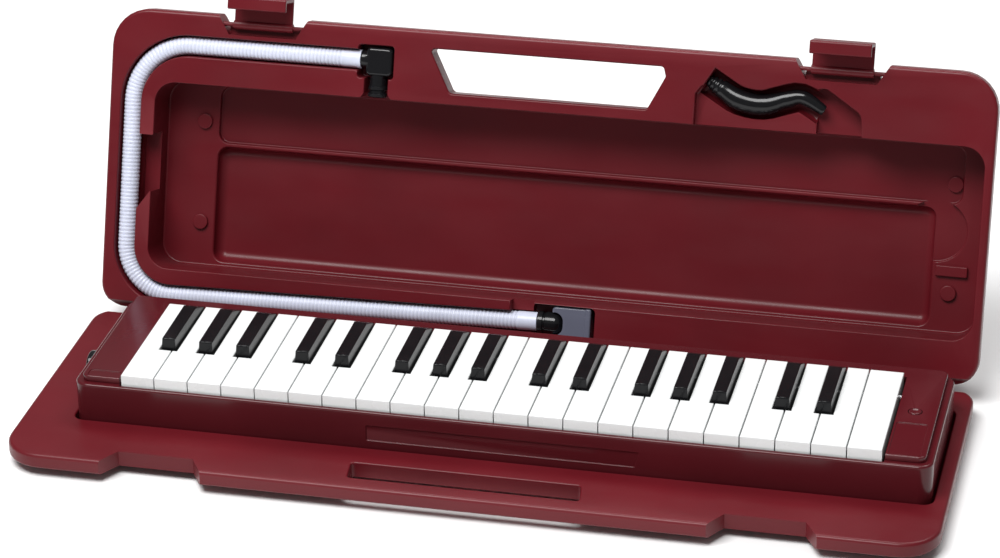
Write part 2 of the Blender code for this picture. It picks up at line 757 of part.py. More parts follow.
def make_white_key(name, left, right, tail_left, tail_right):
    profile = [(KEY_FRONT, KEY_BOTTOM), (KEY_FRONT, KEY_TOP), (KEY_BACK, KEY_TOP), *tail_profile()]
    profile.append((HUB_FRONT, KEY_BOTTOM))
    side = plate("side", profile, left - 0.01, right + 0.01, across=True)
    outline = white_outline(left, right, tail_left, tail_right, 0, TAIL_END + 0.01)
    key = boolean(plate("plan", outline, 0, 0.05), [side], "INTERSECT")
    inner = white_outline(left, right, tail_left, tail_right, KEY_SIDE, HUB_FRONT)
    hollow = plate("hollow", inner, 0.01, KEY_TOP - KEY_SKIN)
    key = cut(key, hollow, shaft_bore(left, right))
    finish(key, name, SURFACES["ivory"], CASE_FRAME, ((left + right) / 2, SHAFT_Y, SHAFT_Z))


def make_black_key(name, centre):
    low, slope = 0.0190, 0.0016
    profile = [
        (BLACK_FRONT, low),
        (BLACK_FRONT + slope * 0.7, BLACK_TOP - 0.001),
        (BLACK_FRONT + slope, BLACK_TOP),
        (BLACK_BACK, BLACK_TOP),
        (KEY_BACK, KEY_TOP),
        *tail_profile(),
        (HUB_FRONT, low),
    ]
    half = BLACK_WIDTH / 2
    key = plate("side", profile, -half, half, across=True)
    for vertex in key.data.vertices:
        if vertex.co.z > KEY_TOP:
            vertex.co.x *= BLACK_TAPER
    inner = half - KEY_SIDE
    hollow = box("hollow", (-inner, BLACK_FRONT + 0.0030, 0.01), (inner, HUB_FRONT, KEY_TOP - KEY_SKIN))
    front, corner, past = BLACK_FRONT, 0.0010, 0.001
    corners = []
    for side in (-1, 1):
        outline = [
            (side * (half + past), front - past),
            (side * (half - corner - past), front - past),
            (side * (half + past), front + corner + past),
        ]
        corners.append(plate("corner", outline, 0, 0.05))
    key = cut(key, hollow, shaft_bore(-half, half), *corners)
    key.data.transform(Matrix.Translation((centre, 0, 0)))
    finish(key, name, SURFACES["black"], CASE_FRAME, (centre, SHAFT_Y, SHAFT_Z))


def make_keys():
    for name, kind, left, right, tail_left, tail_right in keyboard():
        if kind == "white":
            make_white_key(name, left, right, tail_left, tail_right)
        else:
            make_black_key(name, left)


# Works


def key_middles():
    """The middle of each key's tail, from left to right."""
    middles = []
    for _, kind, left, _, tail_left, tail_right in keyboard():
        middles.append(left if kind == "black" else (tail_left + tail_right) / 2)
    return sorted(middles)


def make_air_chamber():
    foot = CASE_FLOOR + 0.0016
    outer = rectangle(CHAMBER_LEFT, CHAMBER_RIGHT, CHAMBER_FRONT, CHAMBER_BACK)
    inner = rectangle(
        CHAMBER_LEFT + CHAMBER_WALL,
        CHAMBER_RIGHT - CHAMBER_WALL,
        CHAMBER_FRONT + CHAMBER_WALL,
        CHAMBER_BACK - CHAMBER_WALL,
    )
    chamber = plate("chamber", outer, foot, CHAMBER_TOP)
    ports = [plate("hollow", inner, foot - 0.01, CHAMBER_TOP - CHAMBER_WALL)]
    for x in key_middles():
        ports.append(box("port", (x - 0.0022, -0.0375, 0), (x + 0.0022, -0.0325, 0.02)))
    start = (CHAMBER_LEFT - 0.01, INLET_Y, INLET_Z)
    ports.append(rod("inlet_hole", start, (CHAMBER_LEFT + 0.01, INLET_Y, INLET_Z), 0.0053, 20))
    ports.append(rod("drain_hole", (DRAIN_X, DRAIN_Y, 0), (DRAIN_X, DRAIN_Y, 0.02), 0.0025, 16))
    finish(cut(chamber, *ports), "air_chamber", SURFACES["black"], CASE_FRAME)


def make_chamber_gasket():
    low, high = CASE_FLOOR + TOUCH, CASE_FLOOR + 0.0013
    outer = rectangle(CHAMBER_LEFT, CHAMBER_RIGHT, CHAMBER_FRONT, CHAMBER_BACK)
    inset = 0.003
    inner = rectangle(
        CHAMBER_LEFT + inset, CHAMBER_RIGHT - inset, CHAMBER_FRONT + inset, CHAMBER_BACK - inset
    )
    ring = cut(plate("ring", outer, low, high), plate("inside", inner, low - 0.01, high + 0.01))
    finish(ring, "chamber_gasket", SURFACES["rubber"], CASE_FRAME)


def make_reed_plate():
    """One brass plate under the ports, with a slot for each reed, longest at the bass end."""
    top = CHAMBER_TOP - CHAMBER_WALL - TOUCH
    low = top - 0.0012
    middles = key_middles()
    solid = box("plate", (middles[0] - 0.0045, -0.0786, low), (middles[-1] + 0.0045, -0.0316, top))
    slots = []
    for i, x in enumerate(middles):
        length = 0.042 - 0.026 * i / (len(middles) - 1)
        half = 0.0013 + 0.0004 * (1 - i / len(middles))
        slots.append(box("slot", (x - half, -0.0350 - length, 0), (x + half, -0.0350, 0.02)))
    finish(cut(solid, *slots), "reed_plate", SURFACES["brass"], CASE_FRAME)


def make_key_shaft():
    start, end = KEYS_LEFT - 0.0030, keys_right() + 0.0030
    shaft = rod("shaft", (start, SHAFT_Y, SHAFT_Z), (end, SHAFT_Y, SHAFT_Z), PIN_RADIUS, 12)
    finish(shaft, "key_shaft", SURFACES["steel"], CASE_FRAME)


def make_spring_comb():
    """One strip of spring steel with a finger rising into each key."""
    low = CHAMBER_TOP + TOUCH
    spine_front, spine_back, tip = -0.1030, -0.0885, -0.0720
    half = 0.0012
    outline = [(KEYS_LEFT, spine_front), (keys_right(), spine_front), (keys_right(), spine_back)]
    for x in reversed(key_middles()):
        outline += [(x + half, spine_back), (x + half, tip), (x - half, tip), (x - half, spine_back)]
    outline.append((KEYS_LEFT, spine_back))
    comb = plate("comb", outline, low, low + 0.0004)
    for vertex in comb.data.vertices:
        if vertex.co.y > tip - 0.001:
            vertex.co.z += 0.0090
    finish(comb, "spring_comb", SURFACES["steel"], CASE_FRAME)


def make_inlet_socket():
    """The turned socket in the left end that takes a mouthpiece or the hose's elbow."""
    collar, neck, bore = 0.0085, 0.0050, 0.0042
    outer_end, wall, inner_end = -0.2318, BODY_LEFT - TOUCH, CHAMBER_LEFT + CHAMBER_WALL + 0.001
    depth = inner_end - outer_end
    seat = wall - outer_end
    profile = [
        (bore, depth),
        (neck, depth),
        (neck, seat + 0.008),
        (0.0071, seat + 0.008),
        (0.0071, seat),
        (collar, seat),
        (collar, 0.0006),
        (collar - 0.0006, 0),
        (bore + 0.0008, 0),
        (bore, 0.0010),
        (bore, depth),
    ]
    at = (outer_end, INLET_Y, INLET_Z)
    socket = turned("socket", profile, at, (1, 0, 0), 24)
    finish(socket, "inlet_socket", SURFACES["black"], CASE_FRAME)


def make_drain_valve():
    """The button in the right cheek, its stem and the valve under the chamber's top, with a spring."""
    top = COVER_TOP + 0.0005
    profile = [
        (0, top),
        (0.0022, top - 0.0004),
        (0.0030, top),
        (0.0036, top - 0.0005),
        (0.0036, top - 0.0035),
        (0.0015, top - 0.0035),
        (0.0015, 0.0115),
        (0.0038, 0.0115),
        (0.0038, 0.0100),
        (0, 0.0100),
    ]
    button = turned("button", profile, (DRAIN_X, DRAIN_Y, 0), (0, 0, 1), 18)
    finish(button, "drain_button", SURFACES["body"], CASE_FRAME, (DRAIN_X, DRAIN_Y, 0))
    low, high, coil, wire, turns, per_turn = CHAMBER_TOP + 0.0005, top - 0.0042, 0.0026, 0.0003, 4, 10
    count = turns * per_turn
    points = []
    for i in range(count + 1):
        angle = 2 * math.pi * i / per_turn
        height = low + wire + (high - low - 2 * wire) * i / count
        points.append((DRAIN_X + coil * math.cos(angle), DRAIN_Y + coil * math.sin(angle), height))
    spring = tube("spring", points, wire, 1)
    finish(spring, "drain_spring", SURFACES["steel"], CASE_FRAME)


def make_front_felt():
    felt = box("felt", (KEYS_LEFT, -0.1262, 0.0108), (keys_right(), -0.1172, 0.0136))
    finish(felt, "front_felt", SURFACES["felt"], CASE_FRAME)


clear_scene()
PARTS = collection("melodica")
CUTTERS = collection("cutters")
CUTTERS.hide_render = True
CASE_FRAME = frame("case_frame", 0)
LID_FRAME = frame("lid_frame", math.pi / 2 - LID_LEAN)
SURFACES = {
    "case": material("case_plastic", MAROON, 0.32),
    "body": material("body_plastic", (0.120, 0.009, 0.016), 0.22),
    "ivory": material("white_key_plastic", (0.86, 0.87, 0.86), 0.28),
    "black": material("black_plastic", (0.010, 0.010, 0.012), 0.18),
    "hose": material("hose_plastic", (0.50, 0.53, 0.62), 0.38),
    "steel": material("steel", (0.62, 0.62, 0.64), 0.30, 1.0),
    "brass": material("reed_brass", (0.70, 0.52, 0.22), 0.30, 1.0),
    "rubber": material("gasket_rubber", (0.05, 0.05, 0.05), 0.80),
    "felt": material("key_felt", (0.30, 0.03, 0.03), 0.95),
}
make_case_base()
make_case_lid()
make_hinge_pin()
make_latches()
make_hose()
make_hose_elbow()
make_hose_ferrule()
make_hose_mouthpiece()
make_short_mouthpiece()
make_bottom_case()
make_top_cover()
make_keys()
make_air_chamber()
make_chamber_gasket()
make_reed_plate()
make_key_shaft()
make_spring_comb()
make_inlet_socket()
make_drain_valve()
make_front_felt()
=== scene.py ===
"""The looks of the melodica in its case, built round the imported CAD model.

Pieces of the case lid are made in lid space: X along the lid, Y up it from the hinge line and Z out
of its inner face. The other pieces are made in case space: the same X, Y back from the hinge line
and Z up from the rim of the base. Sizes are in metres.
"""

import json
import math

import bmesh
import bpy
from mathutils import Matrix, Vector

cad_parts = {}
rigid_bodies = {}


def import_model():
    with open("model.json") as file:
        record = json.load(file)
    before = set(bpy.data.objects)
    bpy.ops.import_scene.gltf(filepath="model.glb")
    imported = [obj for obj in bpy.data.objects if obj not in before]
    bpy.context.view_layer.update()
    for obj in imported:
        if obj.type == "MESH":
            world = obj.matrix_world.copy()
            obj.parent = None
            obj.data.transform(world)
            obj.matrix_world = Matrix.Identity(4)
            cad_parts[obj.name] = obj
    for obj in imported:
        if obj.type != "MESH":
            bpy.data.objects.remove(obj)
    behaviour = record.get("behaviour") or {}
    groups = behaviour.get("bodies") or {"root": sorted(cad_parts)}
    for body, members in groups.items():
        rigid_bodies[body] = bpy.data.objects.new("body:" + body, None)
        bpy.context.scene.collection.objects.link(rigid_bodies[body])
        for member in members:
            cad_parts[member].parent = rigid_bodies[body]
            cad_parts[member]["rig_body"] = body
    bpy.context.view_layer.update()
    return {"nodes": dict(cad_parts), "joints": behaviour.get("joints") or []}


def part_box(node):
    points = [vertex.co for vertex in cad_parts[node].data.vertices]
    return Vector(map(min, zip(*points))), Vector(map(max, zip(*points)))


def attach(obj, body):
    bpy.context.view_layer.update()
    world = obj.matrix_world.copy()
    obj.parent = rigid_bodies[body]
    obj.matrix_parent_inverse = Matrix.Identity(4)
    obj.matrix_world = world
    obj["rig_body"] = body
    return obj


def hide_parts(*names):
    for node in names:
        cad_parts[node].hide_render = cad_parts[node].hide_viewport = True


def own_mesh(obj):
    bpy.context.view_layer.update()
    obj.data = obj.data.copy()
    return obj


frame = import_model()


# The two spaces


def middle_of(node):
    low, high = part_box(node)
    return (Vector(low) + Vector(high)) / 2


def lid_turn():
    """How far the lid turns from open to closed, in radians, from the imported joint."""
    hinge = next(joint for joint in frame["joints"] if joint["name"] == "case_lid_hinge")
    return math.radians(hinge["range_deg"][1])


HINGE_TURN = lid_turn()
HINGE = middle_of("case_hinge_pin")
CASE_SPACE = Matrix.Translation(HINGE)
LID_SPACE = CASE_SPACE @ Matrix.Rotation(math.pi - HINGE_TURN, 4, "X")

ACROSS = Matrix(((0, 0, 1, 0), (1, 0, 0, 0), (0, 1, 0, 0), (0, 0, 0, 1)))
ROOT = "case_and_instrument"

# Case
CASE_HALF_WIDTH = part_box("case_base")[1][0]
CASE_DEPTH = 2 * HINGE.y
CASE_CORNER = 0.022
NECK_CORNER = 0.014
RIM_HEIGHT = HINGE.z
RIM_GAP = 0.00025
HINGE_GAP = 0.0006
FLANGE = 0.009
LID_RIM = 0.0135
ROUND_STEPS = 5
TOUCH = 0.0003

# Hinge and latches
KNUCKLE_RADIUS = 0.0042
HINGE_RELIEF = 0.0048
PIN_RADIUS = 0.0015
PIN_BORE = 0.0018
PIN_DOME = 0.0003
KNUCKLE_LENGTH = 0.014
HINGE_STATIONS = (-0.180, -0.060, 0.060, 0.180)
LATCH_WIDTH = 0.035
LATCH_PIVOT = (0.1695, -0.0030)
LATCH_PIN_RADIUS = 0.0012
LATCH_BORE = 0.0015
BARREL_RADIUS = 0.0026
LATCH_X = {"left": -0.1655, "right": 0.1675}
LATCH_ROOM = 0.0395
LATCH_NOTCH = 0.1636
BASE_NOTCH = -0.1620
NOTCH_END = 0.1800
CATCH_FLOOR = -0.0065

# Rooms in the lid
ROOM_FLOOR = -0.0288
ROOM_LEFT = -0.1965
ROOM_RIGHT = 0.2225
WHITE_ROOM = -0.0322
BLACK_ROOM = -0.0368
CHANNEL_HALF = 0.0060
CHANNEL_FLOOR = -0.0124
MOUTH_FLOOR = -0.0128

# Hose and mouthpieces
HOSE_DEPTH = -0.0063
HOSE_X = -0.242
HOSE_TOP = 0.1552
HOSE_LOW = 0.0095
HOSE_RISE = 0.0044
HOSE_START = -0.1073
HOSE_END = 0.0040
HOSE_PITCH = 0.0022
HOSE_MIDDLE = 0.0052
HOSE_RIB = 0.0002
HOSE_CUFF = 0.0054
HOSE_CUFF_LENGTH = 0.011
ELBOW_X = -0.0972
FERRULE_RADIUS = 0.0062
CONNECTOR_Y = HOSE_LOW + 0.0045
MOUTHPIECE_DEPTH = -0.0068
MOUTHPIECE_RADIUS = 0.0055
MOUTHPIECE_KNOTS = (
    (0.0925, 0.1588),
    (0.1010, 0.1538),
    (0.1110, 0.1486),
    (0.1240, 0.1472),
    (0.1360, 0.1508),
    (0.1460, 0.1528),
    (0.1585, 0.1464),
)
MOUTHPIECE_SIZES = (0.62, 0.95, 1.14, 1.10, 0.88, 0.74, 0.56)

# Instrument body
BODY_LEFT = -0.2255
BODY_RIGHT = 0.2460
BODY_FRONT = -0.1303
BODY_BACK = -0.0263
BODY_FLOOR = -0.0115
BODY_TOP = 0.0211
BODY_CORNER = 0.008
CASE_FLOOR = BODY_FLOOR + 0.0022
COVER_TOP = 0.0245
LEDGE = 0.004
PLAY = 0.0011
KEYS_LEFT = -0.1986
KEYS_RIGHT = KEYS_LEFT + 22 * 0.019
KEY_BACK = -0.0398
SHAFT_Y = -0.0560
SHAFT_Z = 0.0205
INLET_Y = -0.0840
INLET_Z = 0.0075
DRAIN_X = 0.2300
DRAIN_Y = -0.0770

# Photograph's viewpoint
CAMERA_TARGET = Vector((-0.0344, 0.16735, 0.0145))
CAMERA_DISTANCE = 2.1886
CAMERA_AZIMUTH = math.radians(13.51)
CAMERA_ELEVATION = math.radians(26.71)
CAMERA_ROLL = math.radians(-0.97)
CAMERA_LENS = 133.96
CAMERA_SENSOR = 36


# Materials


def principled(name, color, roughness, metallic=0.0):
    """A material with its Principled shader, ready for patterns."""
    made = bpy.data.materials.new(name)
    made.use_nodes = True
    shader = made.node_tree.nodes["Principled BSDF"]
    shader.inputs["Base Color"].default_value = (*color, 1)
    shader.inputs["Roughness"].default_value = roughness
    shader.inputs["Metallic"].default_value = metallic
    return made, made.node_tree, shader


def noise(tree, scale, detail=3.0, stretch=(1, 1, 1)):
    """Noise in the piece's own coordinates, so that it stays put when the piece moves."""
    place = tree.nodes.new("ShaderNodeTexCoord")
    mapping = tree.nodes.new("ShaderNodeMapping")
    mapping.inputs["Scale"].default_value = stretch
    texture = tree.nodes.new("ShaderNodeTexNoise")
    texture.inputs["Scale"].default_value = scale
    texture.inputs["Detail"].default_value = detail
    tree.links.new(place.outputs["Object"], mapping.inputs["Vector"])
    tree.links.new(mapping.outputs["Vector"], texture.inputs["Vector"])
    return texture.outputs["Fac"]


def spread(tree, value, low, high):
    """The value from 0.3 to 0.7 stretched over low to high."""
    node = tree.nodes.new("ShaderNodeMapRange")
    node.inputs["From Min"].default_value = 0.3
    node.inputs["From Max"].default_value = 0.7
    node.inputs["To Min"].default_value = low
    node.inputs["To Max"].default_value = high
    tree.links.new(value, node.inputs["Value"])
    return node.outputs["Result"]


def mixed(tree, factor, first, second):
    """A colour between two, by factor."""
    node = tree.nodes.new("ShaderNodeMix")
    node.data_type = "RGBA"
    for socket, color in ((node.inputs[6], first), (node.inputs[7], second)):
        if isinstance(color, tuple):
            socket.default_value = (*color, 1)
        else:
            tree.links.new(color, socket)
    tree.links.new(factor, node.inputs[0])
    return node.outputs[2]


def painted_light_mask(tree, low, high):
    """1 on sharp outer edges and 0 elsewhere, from the mesh's pointiness: it places painted highlights
    on edges and painted shade in grooves.
    """
    geometry = tree.nodes.new("ShaderNodeNewGeometry")
    node = tree.nodes.new("ShaderNodeMapRange")
    node.inputs["From Min"].default_value = low
    node.inputs["From Max"].default_value = high
    tree.links.new(geometry.outputs["Pointiness"], node.inputs["Value"])
    return node.outputs["Result"]


def bump(tree, shader, height, strength, distance):
    node = tree.nodes.new("ShaderNodeBump")
    node.inputs["Strength"].default_value = strength
    node.inputs["Distance"].default_value = distance
    tree.links.new(height, node.inputs["Height"])
    tree.links.new(node.outputs["Normal"], shader.inputs["Normal"])


def shaded(color, share):
    return tuple(part * share for part in color)


def moulded_plastic(name, color, roughness, grain, depth, coat):
    """Injection-moulded plastic: slow colour drift, faint smears, fine grain and painted highlights on
    sharp outer edges.
    """
    made, tree, shader = principled(name, color, roughness)
    drift = mixed(tree, spread(tree, noise(tree, 14), 0, 1), shaded(color, 0.90), shaded(color, 1.12))
    # Paler colour on sharp outer edges: painted highlight.
    edge_highlight = tuple(min(1.0, part * 1.35 + 0.012) for part in color)
    tint = mixed(tree, painted_light_mask(tree, 0.53, 0.62), drift, edge_highlight)
    tree.links.new(tint, shader.inputs["Base Color"])
    smear = spread(tree, noise(tree, 22, 5, (1, 3, 3)), roughness * 0.82, roughness * 1.22)
    tree.links.new(smear, shader.inputs["Roughness"])
    bump(tree, shader, noise(tree, grain, 2), 0.25, depth)
    shader.inputs["Coat Weight"].default_value = coat
    shader.inputs["Coat Roughness"].default_value = 0.12
    shader.inputs["Specular IOR Level"].default_value = 0.22
    return made


def key_plastic(name, color, roughness, coat, specular):
    """Polished key plastic with hair-fine wear along the key."""
    made, tree, shader = principled(name, color, roughness)
    tint = mixed(tree, spread(tree, noise(tree, 30), 0, 1), shaded(color, 0.97), color)
    tree.links.new(tint, shader.inputs["Base Color"])
    scratch = spread(tree, noise(tree, 40, 4), roughness * 0.9, roughness * 1.15)
    tree.links.new(scratch, shader.inputs["Roughness"])
    bump(tree, shader, noise(tree, 420, 2), 0.08, 0.0001)
    shader.inputs["Coat Weight"].default_value = coat
    shader.inputs["Coat Roughness"].default_value = 0.08
    shader.inputs["Specular IOR Level"].default_value = specular
    return made


def hose_plastic():
    """Pale blue-grey soft plastic that lets a little light in, with painted shade in its grooves."""
    color = (0.62, 0.65, 0.78)
    made, tree, shader = principled("hose_plastic", color, 0.36)
    tint = mixed(tree, spread(tree, noise(tree, 45), 0, 1), shaded(color, 0.93), shaded(color, 1.06))
    # Darker in the corrugation grooves: painted shade.
    groove = mixed(tree, painted_light_mask(tree, 0.44, 0.53), shaded(color, 0.62), tint)
    tree.links.new(groove, shader.inputs["Base Color"])
    bump(tree, shader, noise(tree, 700, 2), 0.15, 0.0001)
    shader.inputs["Subsurface Weight"].default_value = 0.12
    shader.inputs["Subsurface Radius"].default_value = (0.004, 0.004, 0.005)
    return made


def brushed_metal(name, color, roughness, lines):
    made, tree, shader = principled(name, color, roughness, 1.0)
    streak = noise(tree, 900, 2, lines)
    tree.links.new(spread(tree, streak, roughness * 0.7, roughness * 1.4), shader.inputs["Roughness"])
    tint = mixed(tree, spread(tree, noise(tree, 40), 0, 1), shaded(color, 0.85), color)
    tree.links.new(tint, shader.inputs["Base Color"])
    bump(tree, shader, streak, 0.10, 0.00005)
    return made


def felt(name, color):
    made, tree, shader = principled(name, color, 0.95)
    tuft = noise(tree, 1500, 6)
    tree.links.new(
        mixed(tree, spread(tree, tuft, 0, 1), shaded(color, 0.6), shaded(color, 1.3)),
        shader.inputs["Base Color"],
    )
    bump(tree, shader, tuft, 0.8, 0.0004)
    shader.inputs["Sheen Weight"].default_value = 0.5
    return made


def rubber(name, color):
    made, tree, shader = principled(name, color, 0.75)
    tree.links.new(
        mixed(tree, spread(tree, noise(tree, 90), 0, 1), color, shaded(color, 1.7)),
        shader.inputs["Base Color"],
    )
    bump(tree, shader, noise(tree, 1100, 3), 0.35, 0.0002)
    return made


CASE_PLASTIC = moulded_plastic("case_plastic", (0.106, 0.0064, 0.0108), 0.36, 900, 0.00008, 0.05)
BODY_PLASTIC = moulded_plastic("body_plastic", (0.070, 0.0066, 0.0098), 0.20, 700, 0.00004, 0.15)
BLACK_PLASTIC = moulded_plastic("black_plastic", (0.006, 0.006, 0.007), 0.14, 600, 0.00003, 0.2)
# Black plastic given a blue-grey base colour: painted reflection of the surroundings on its gloss.
REFLECTION_GREY_PLASTIC = moulded_plastic("black_plastic_reflection_grey", (0.105, 0.110, 0.150), 0.24, 600, 0.00004, 0.3)
WHITE_KEY = key_plastic("white_key_plastic", (0.75, 0.765, 0.765), 0.26, 0.25, 0.5)
BLACK_KEY = key_plastic("black_key_plastic", (0.005, 0.005, 0.006), 0.24, 0.08, 0.25)
HOSE_PLASTIC = hose_plastic()
STEEL = brushed_metal("steel", (0.62, 0.62, 0.64), 0.28, (0.05, 1, 1))
BRASS = brushed_metal("reed_brass", (0.72, 0.53, 0.22), 0.30, (1, 0.05, 1))
RUBBER = rubber("gasket_rubber", (0.020, 0.020, 0.020))
FELT = felt("key_felt", (0.30, 0.03, 0.03))


# Shapes


def new_object(name, bm):
    mesh = bpy.data.meshes.new(name)
    bmesh.ops.recalc_face_normals(bm, faces=bm.faces)
    bm.to_mesh(mesh)
    bm.free()
    obj = bpy.data.objects.new(name, mesh)
    bpy.context.scene.collection.objects.link(obj)
    return obj


def rounded(corners, radius, steps=8):
    """The outline of a counter-clockwise polygon with its corners rounded."""
    radii = radius if isinstance(radius, (list, tuple)) else [radius] * len(corners)
    outline = []
    for i, (corner, size) in enumerate(zip(corners, radii)):
        corner = Vector(corner)
        before = (Vector(corners[i - 1]) - corner).normalized()
        after = (Vector(corners[(i + 1) % len(corners)]) - corner).normalized()
        half = before.angle(after) / 2
        centre = corner + (before + after).normalized() * size / math.sin(half)
        start = corner + before * size / math.tan(half) - centre
        outwards = 1 if after.cross(before) > 0 else -1
        sweep = (math.pi - 2 * half) * outwards
        for step in range(steps + 1):
            turn = Matrix.Rotation(sweep * step / steps, 2)
            outline.append(tuple(centre + turn @ start))
    return outline


def rectangle(left, right, front, back, radius, steps=8):
    return rounded([(left, front), (right, front), (right, back), (left, back)], radius, steps)


def offset(outline, distance):
    """The counter-clockwise outline moved outwards, or inwards where distance is negative."""
    moved = []
    for i, point in enumerate(outline):
        here = Vector(point)
        before = (here - Vector(outline[i - 1])).normalized()
        after = (Vector(outline[(i + 1) % len(outline)]) - here).normalized()
        normal = Vector((before.y + after.y, -before.x - after.x)).normalized()
        side = Vector((before.y, -before.x))
        moved.append(tuple(here + normal * distance / max(normal.dot(side), 0.3)))
    return moved


def loft(name, rings):
    """A closed solid through level rings with as many points each: (height, outline) pairs."""
    bm = bmesh.new()
    made = [[bm.verts.new((x, y, height)) for x, y in outline] for height, outline in rings]
    count = len(made[0])
    for low, high in zip(made, made[1:]):
        for i in range(count):
            j = (i + 1) % count
            bm.faces.new((low[i], low[j], high[j], high[i]))
    bm.faces.new(made[0][::-1])
    bm.faces.new(made[-1])
    return new_object(name, bm)


def slab(name, outline, low, high, low_round, high_round):
    """A flat outline with thickness and rounded edges."""
    rings = []
    for step in range(ROUND_STEPS + 1):
        angle = math.pi / 2 * step / ROUND_STEPS
        inset = low_round * (math.sin(angle) - 1)
        rings.append((low + low_round * (1 - math.cos(angle)), offset(outline, inset)))
    for step in range(ROUND_STEPS + 1):
        angle = math.pi / 2 * step / ROUND_STEPS
        inset = high_round * (math.cos(angle) - 1)
        rings.append((high + high_round * (math.sin(angle) - 1), offset(outline, inset)))
    return loft(name, rings)


def basin(name, outline, floor, surface, floor_round, mouth_round, above=0.004):
    """A cutter for a moulded pocket: a fillet round its floor and a rounded mouth at the surface."""
    rings = []
    for step in range(ROUND_STEPS + 1):
        angle = math.pi / 2 * step / ROUND_STEPS
        inset = floor_round * (math.sin(angle) - 1)
        rings.append((floor + floor_round * (1 - math.cos(angle)), offset(outline, inset)))
    top = surface + 0.00004
    for step in range(ROUND_STEPS + 1):
        angle = math.pi / 2 * step / ROUND_STEPS
        flare = mouth_round * (1 - math.cos(angle))
        rings.append((top + mouth_round * (math.sin(angle) - 1), offset(outline, flare)))
    rings.append((top + above, offset(outline, mouth_round)))
    return loft(name, rings)


def box(name, low, high):
    bm = bmesh.new()
    bmesh.ops.create_cube(bm, size=1)
    low, high = Vector(low), Vector(high)
    bmesh.ops.scale(bm, vec=high - low, verts=bm.verts)
    bmesh.ops.translate(bm, vec=(low + high) / 2, verts=bm.verts)
    return new_object(name, bm)


def turned(name, profile, at, direction, steps=32):
    """Profile of (radius, height) pairs turned round the axis through at; it may be closed or not."""
    bm = bmesh.new()
    rings = []
    for radius, height in profile:
        if radius == 0:
            rings.append([bm.verts.new((0, 0, height))])
            continue
        ring = []
        for step in range(steps):
            angle = 2 * math.pi * step / steps
            ring.append(bm.verts.new((radius * math.cos(angle), radius * math.sin(angle), height)))
        rings.append(ring)
    for low, high in zip(rings, rings[1:]):
        for i in range(steps):
            j = (i + 1) % steps
            corners = [low[i % len(low)], low[j % len(low)], high[j % len(high)], high[i % len(high)]]
            bm.faces.new(list(dict.fromkeys(corners)))
    bmesh.ops.remove_doubles(bm, verts=bm.verts, dist=1e-7)
    turn = Vector(direction).to_track_quat("Z", "Y").to_matrix().to_4x4()
    bmesh.ops.transform(bm, matrix=Matrix.Translation(at) @ turn, verts=bm.verts)
    return new_object(name, bm)


def rod(name, start, end, radius, edge=0.0, steps=28):
    """A round bar with rounded ends."""
    start, end = Vector(start), Vector(end)
    length = (end - start).length
    if edge == 0:
        profile = [(0, 0), (radius, 0), (radius, length), (0, length)]
        return turned(name, profile, start, end - start, steps)
    profile = [(0, 0)]
    for step in range(4):
        angle = math.pi / 2 * step / 3
        profile.append((radius - edge * (1 - math.sin(angle)), edge * (1 - math.cos(angle))))
    for step in range(4):
        angle = math.pi / 2 * step / 3
        profile.append((radius - edge * (1 - math.cos(angle)), length - edge * (1 - math.sin(angle))))
    profile.append((0, length))
    return turned(name, profile, start, end - start, steps)


def swept(name, path, radii, sides=24):
    """A round solid along a path in one plane, with a radius for each point."""
    bm = bmesh.new()
    rings = []
    for i, point in enumerate(path):
        here = Vector(point)
        ahead = (Vector(path[min(i + 1, len(path) - 1)]) - Vector(path[max(i - 1, 0)])).normalized()
        side = ahead.cross(Vector((0, 0, 1))).normalized()
        up = side.cross(ahead)
        across, rise = radii[i] if isinstance(radii[i], tuple) else (radii[i], radii[i])
        ring = []
        for step in range(sides):
            angle = 2 * math.pi * step / sides
            spoke = side * across * math.cos(angle) + up * rise * math.sin(angle)
            ring.append(bm.verts.new(here + spoke))
        rings.append(ring)
    for low, high in zip(rings, rings[1:]):
        for i in range(sides):
            j = (i + 1) % sides
            bm.faces.new((low[i], low[j], high[j], high[i]))
    bm.faces.new(rings[0][::-1])
    bm.faces.new(rings[-1])
    return new_object(name, bm)


def ribbon(route, half):
    """The outline of a band of even width along a route of (x, y) points."""
    left, right = [], []
    for i, point in enumerate(route):
        here = Vector(point)
        ahead = Vector(route[min(i + 1, len(route) - 1)]) - Vector(route[max(i - 1, 0)])
        side = Vector((-ahead.y, ahead.x)).normalized() * half
        left.append(tuple(here + side))
        right.append(tuple(here - side))
    return right + left[::-1]


def baked(obj):
    """The object's evaluated shape as a plain mesh."""
    graph = bpy.context.evaluated_depsgraph_get()
    mesh = bpy.data.meshes.new_from_object(obj.evaluated_get(graph))
    obj.modifiers.clear()
    obj.data = mesh
    return obj


def boolean(obj, others, operation):
    for other in others:
        modifier = obj.modifiers.new(operation.title(), "BOOLEAN")
        modifier.operation = operation
        modifier.object = other
        modifier.solver = "EXACT"
    obj = baked(obj)
    for other in others:
        bpy.data.objects.remove(other, do_unlink=True)
    return obj


def join(obj, *others):
    return boolean(obj, others, "UNION")


def cut(obj, *others):
    return boolean(obj, others, "DIFFERENCE")


def finish(obj, name, space, surface, body, slot, *nodes, smooth=40):
    """Puts a piece in place, gives it its material and body, and lets it stand for its CAD nodes."""
    obj.name = obj.data.name = name
    obj.data.transform(space)
    obj.data.materials.clear()
    obj.data.materials.append(surface)
    obj.data.shade_smooth()
    obj.data.set_sharp_from_angle(angle=math.radians(smooth))
    weights = obj.modifiers.new("Weights", "WEIGHTED_NORMAL")
    weights.keep_sharp = True
    obj = baked(obj)
    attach(obj, body)
    if nodes:
        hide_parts(*nodes)
    return obj


# Case


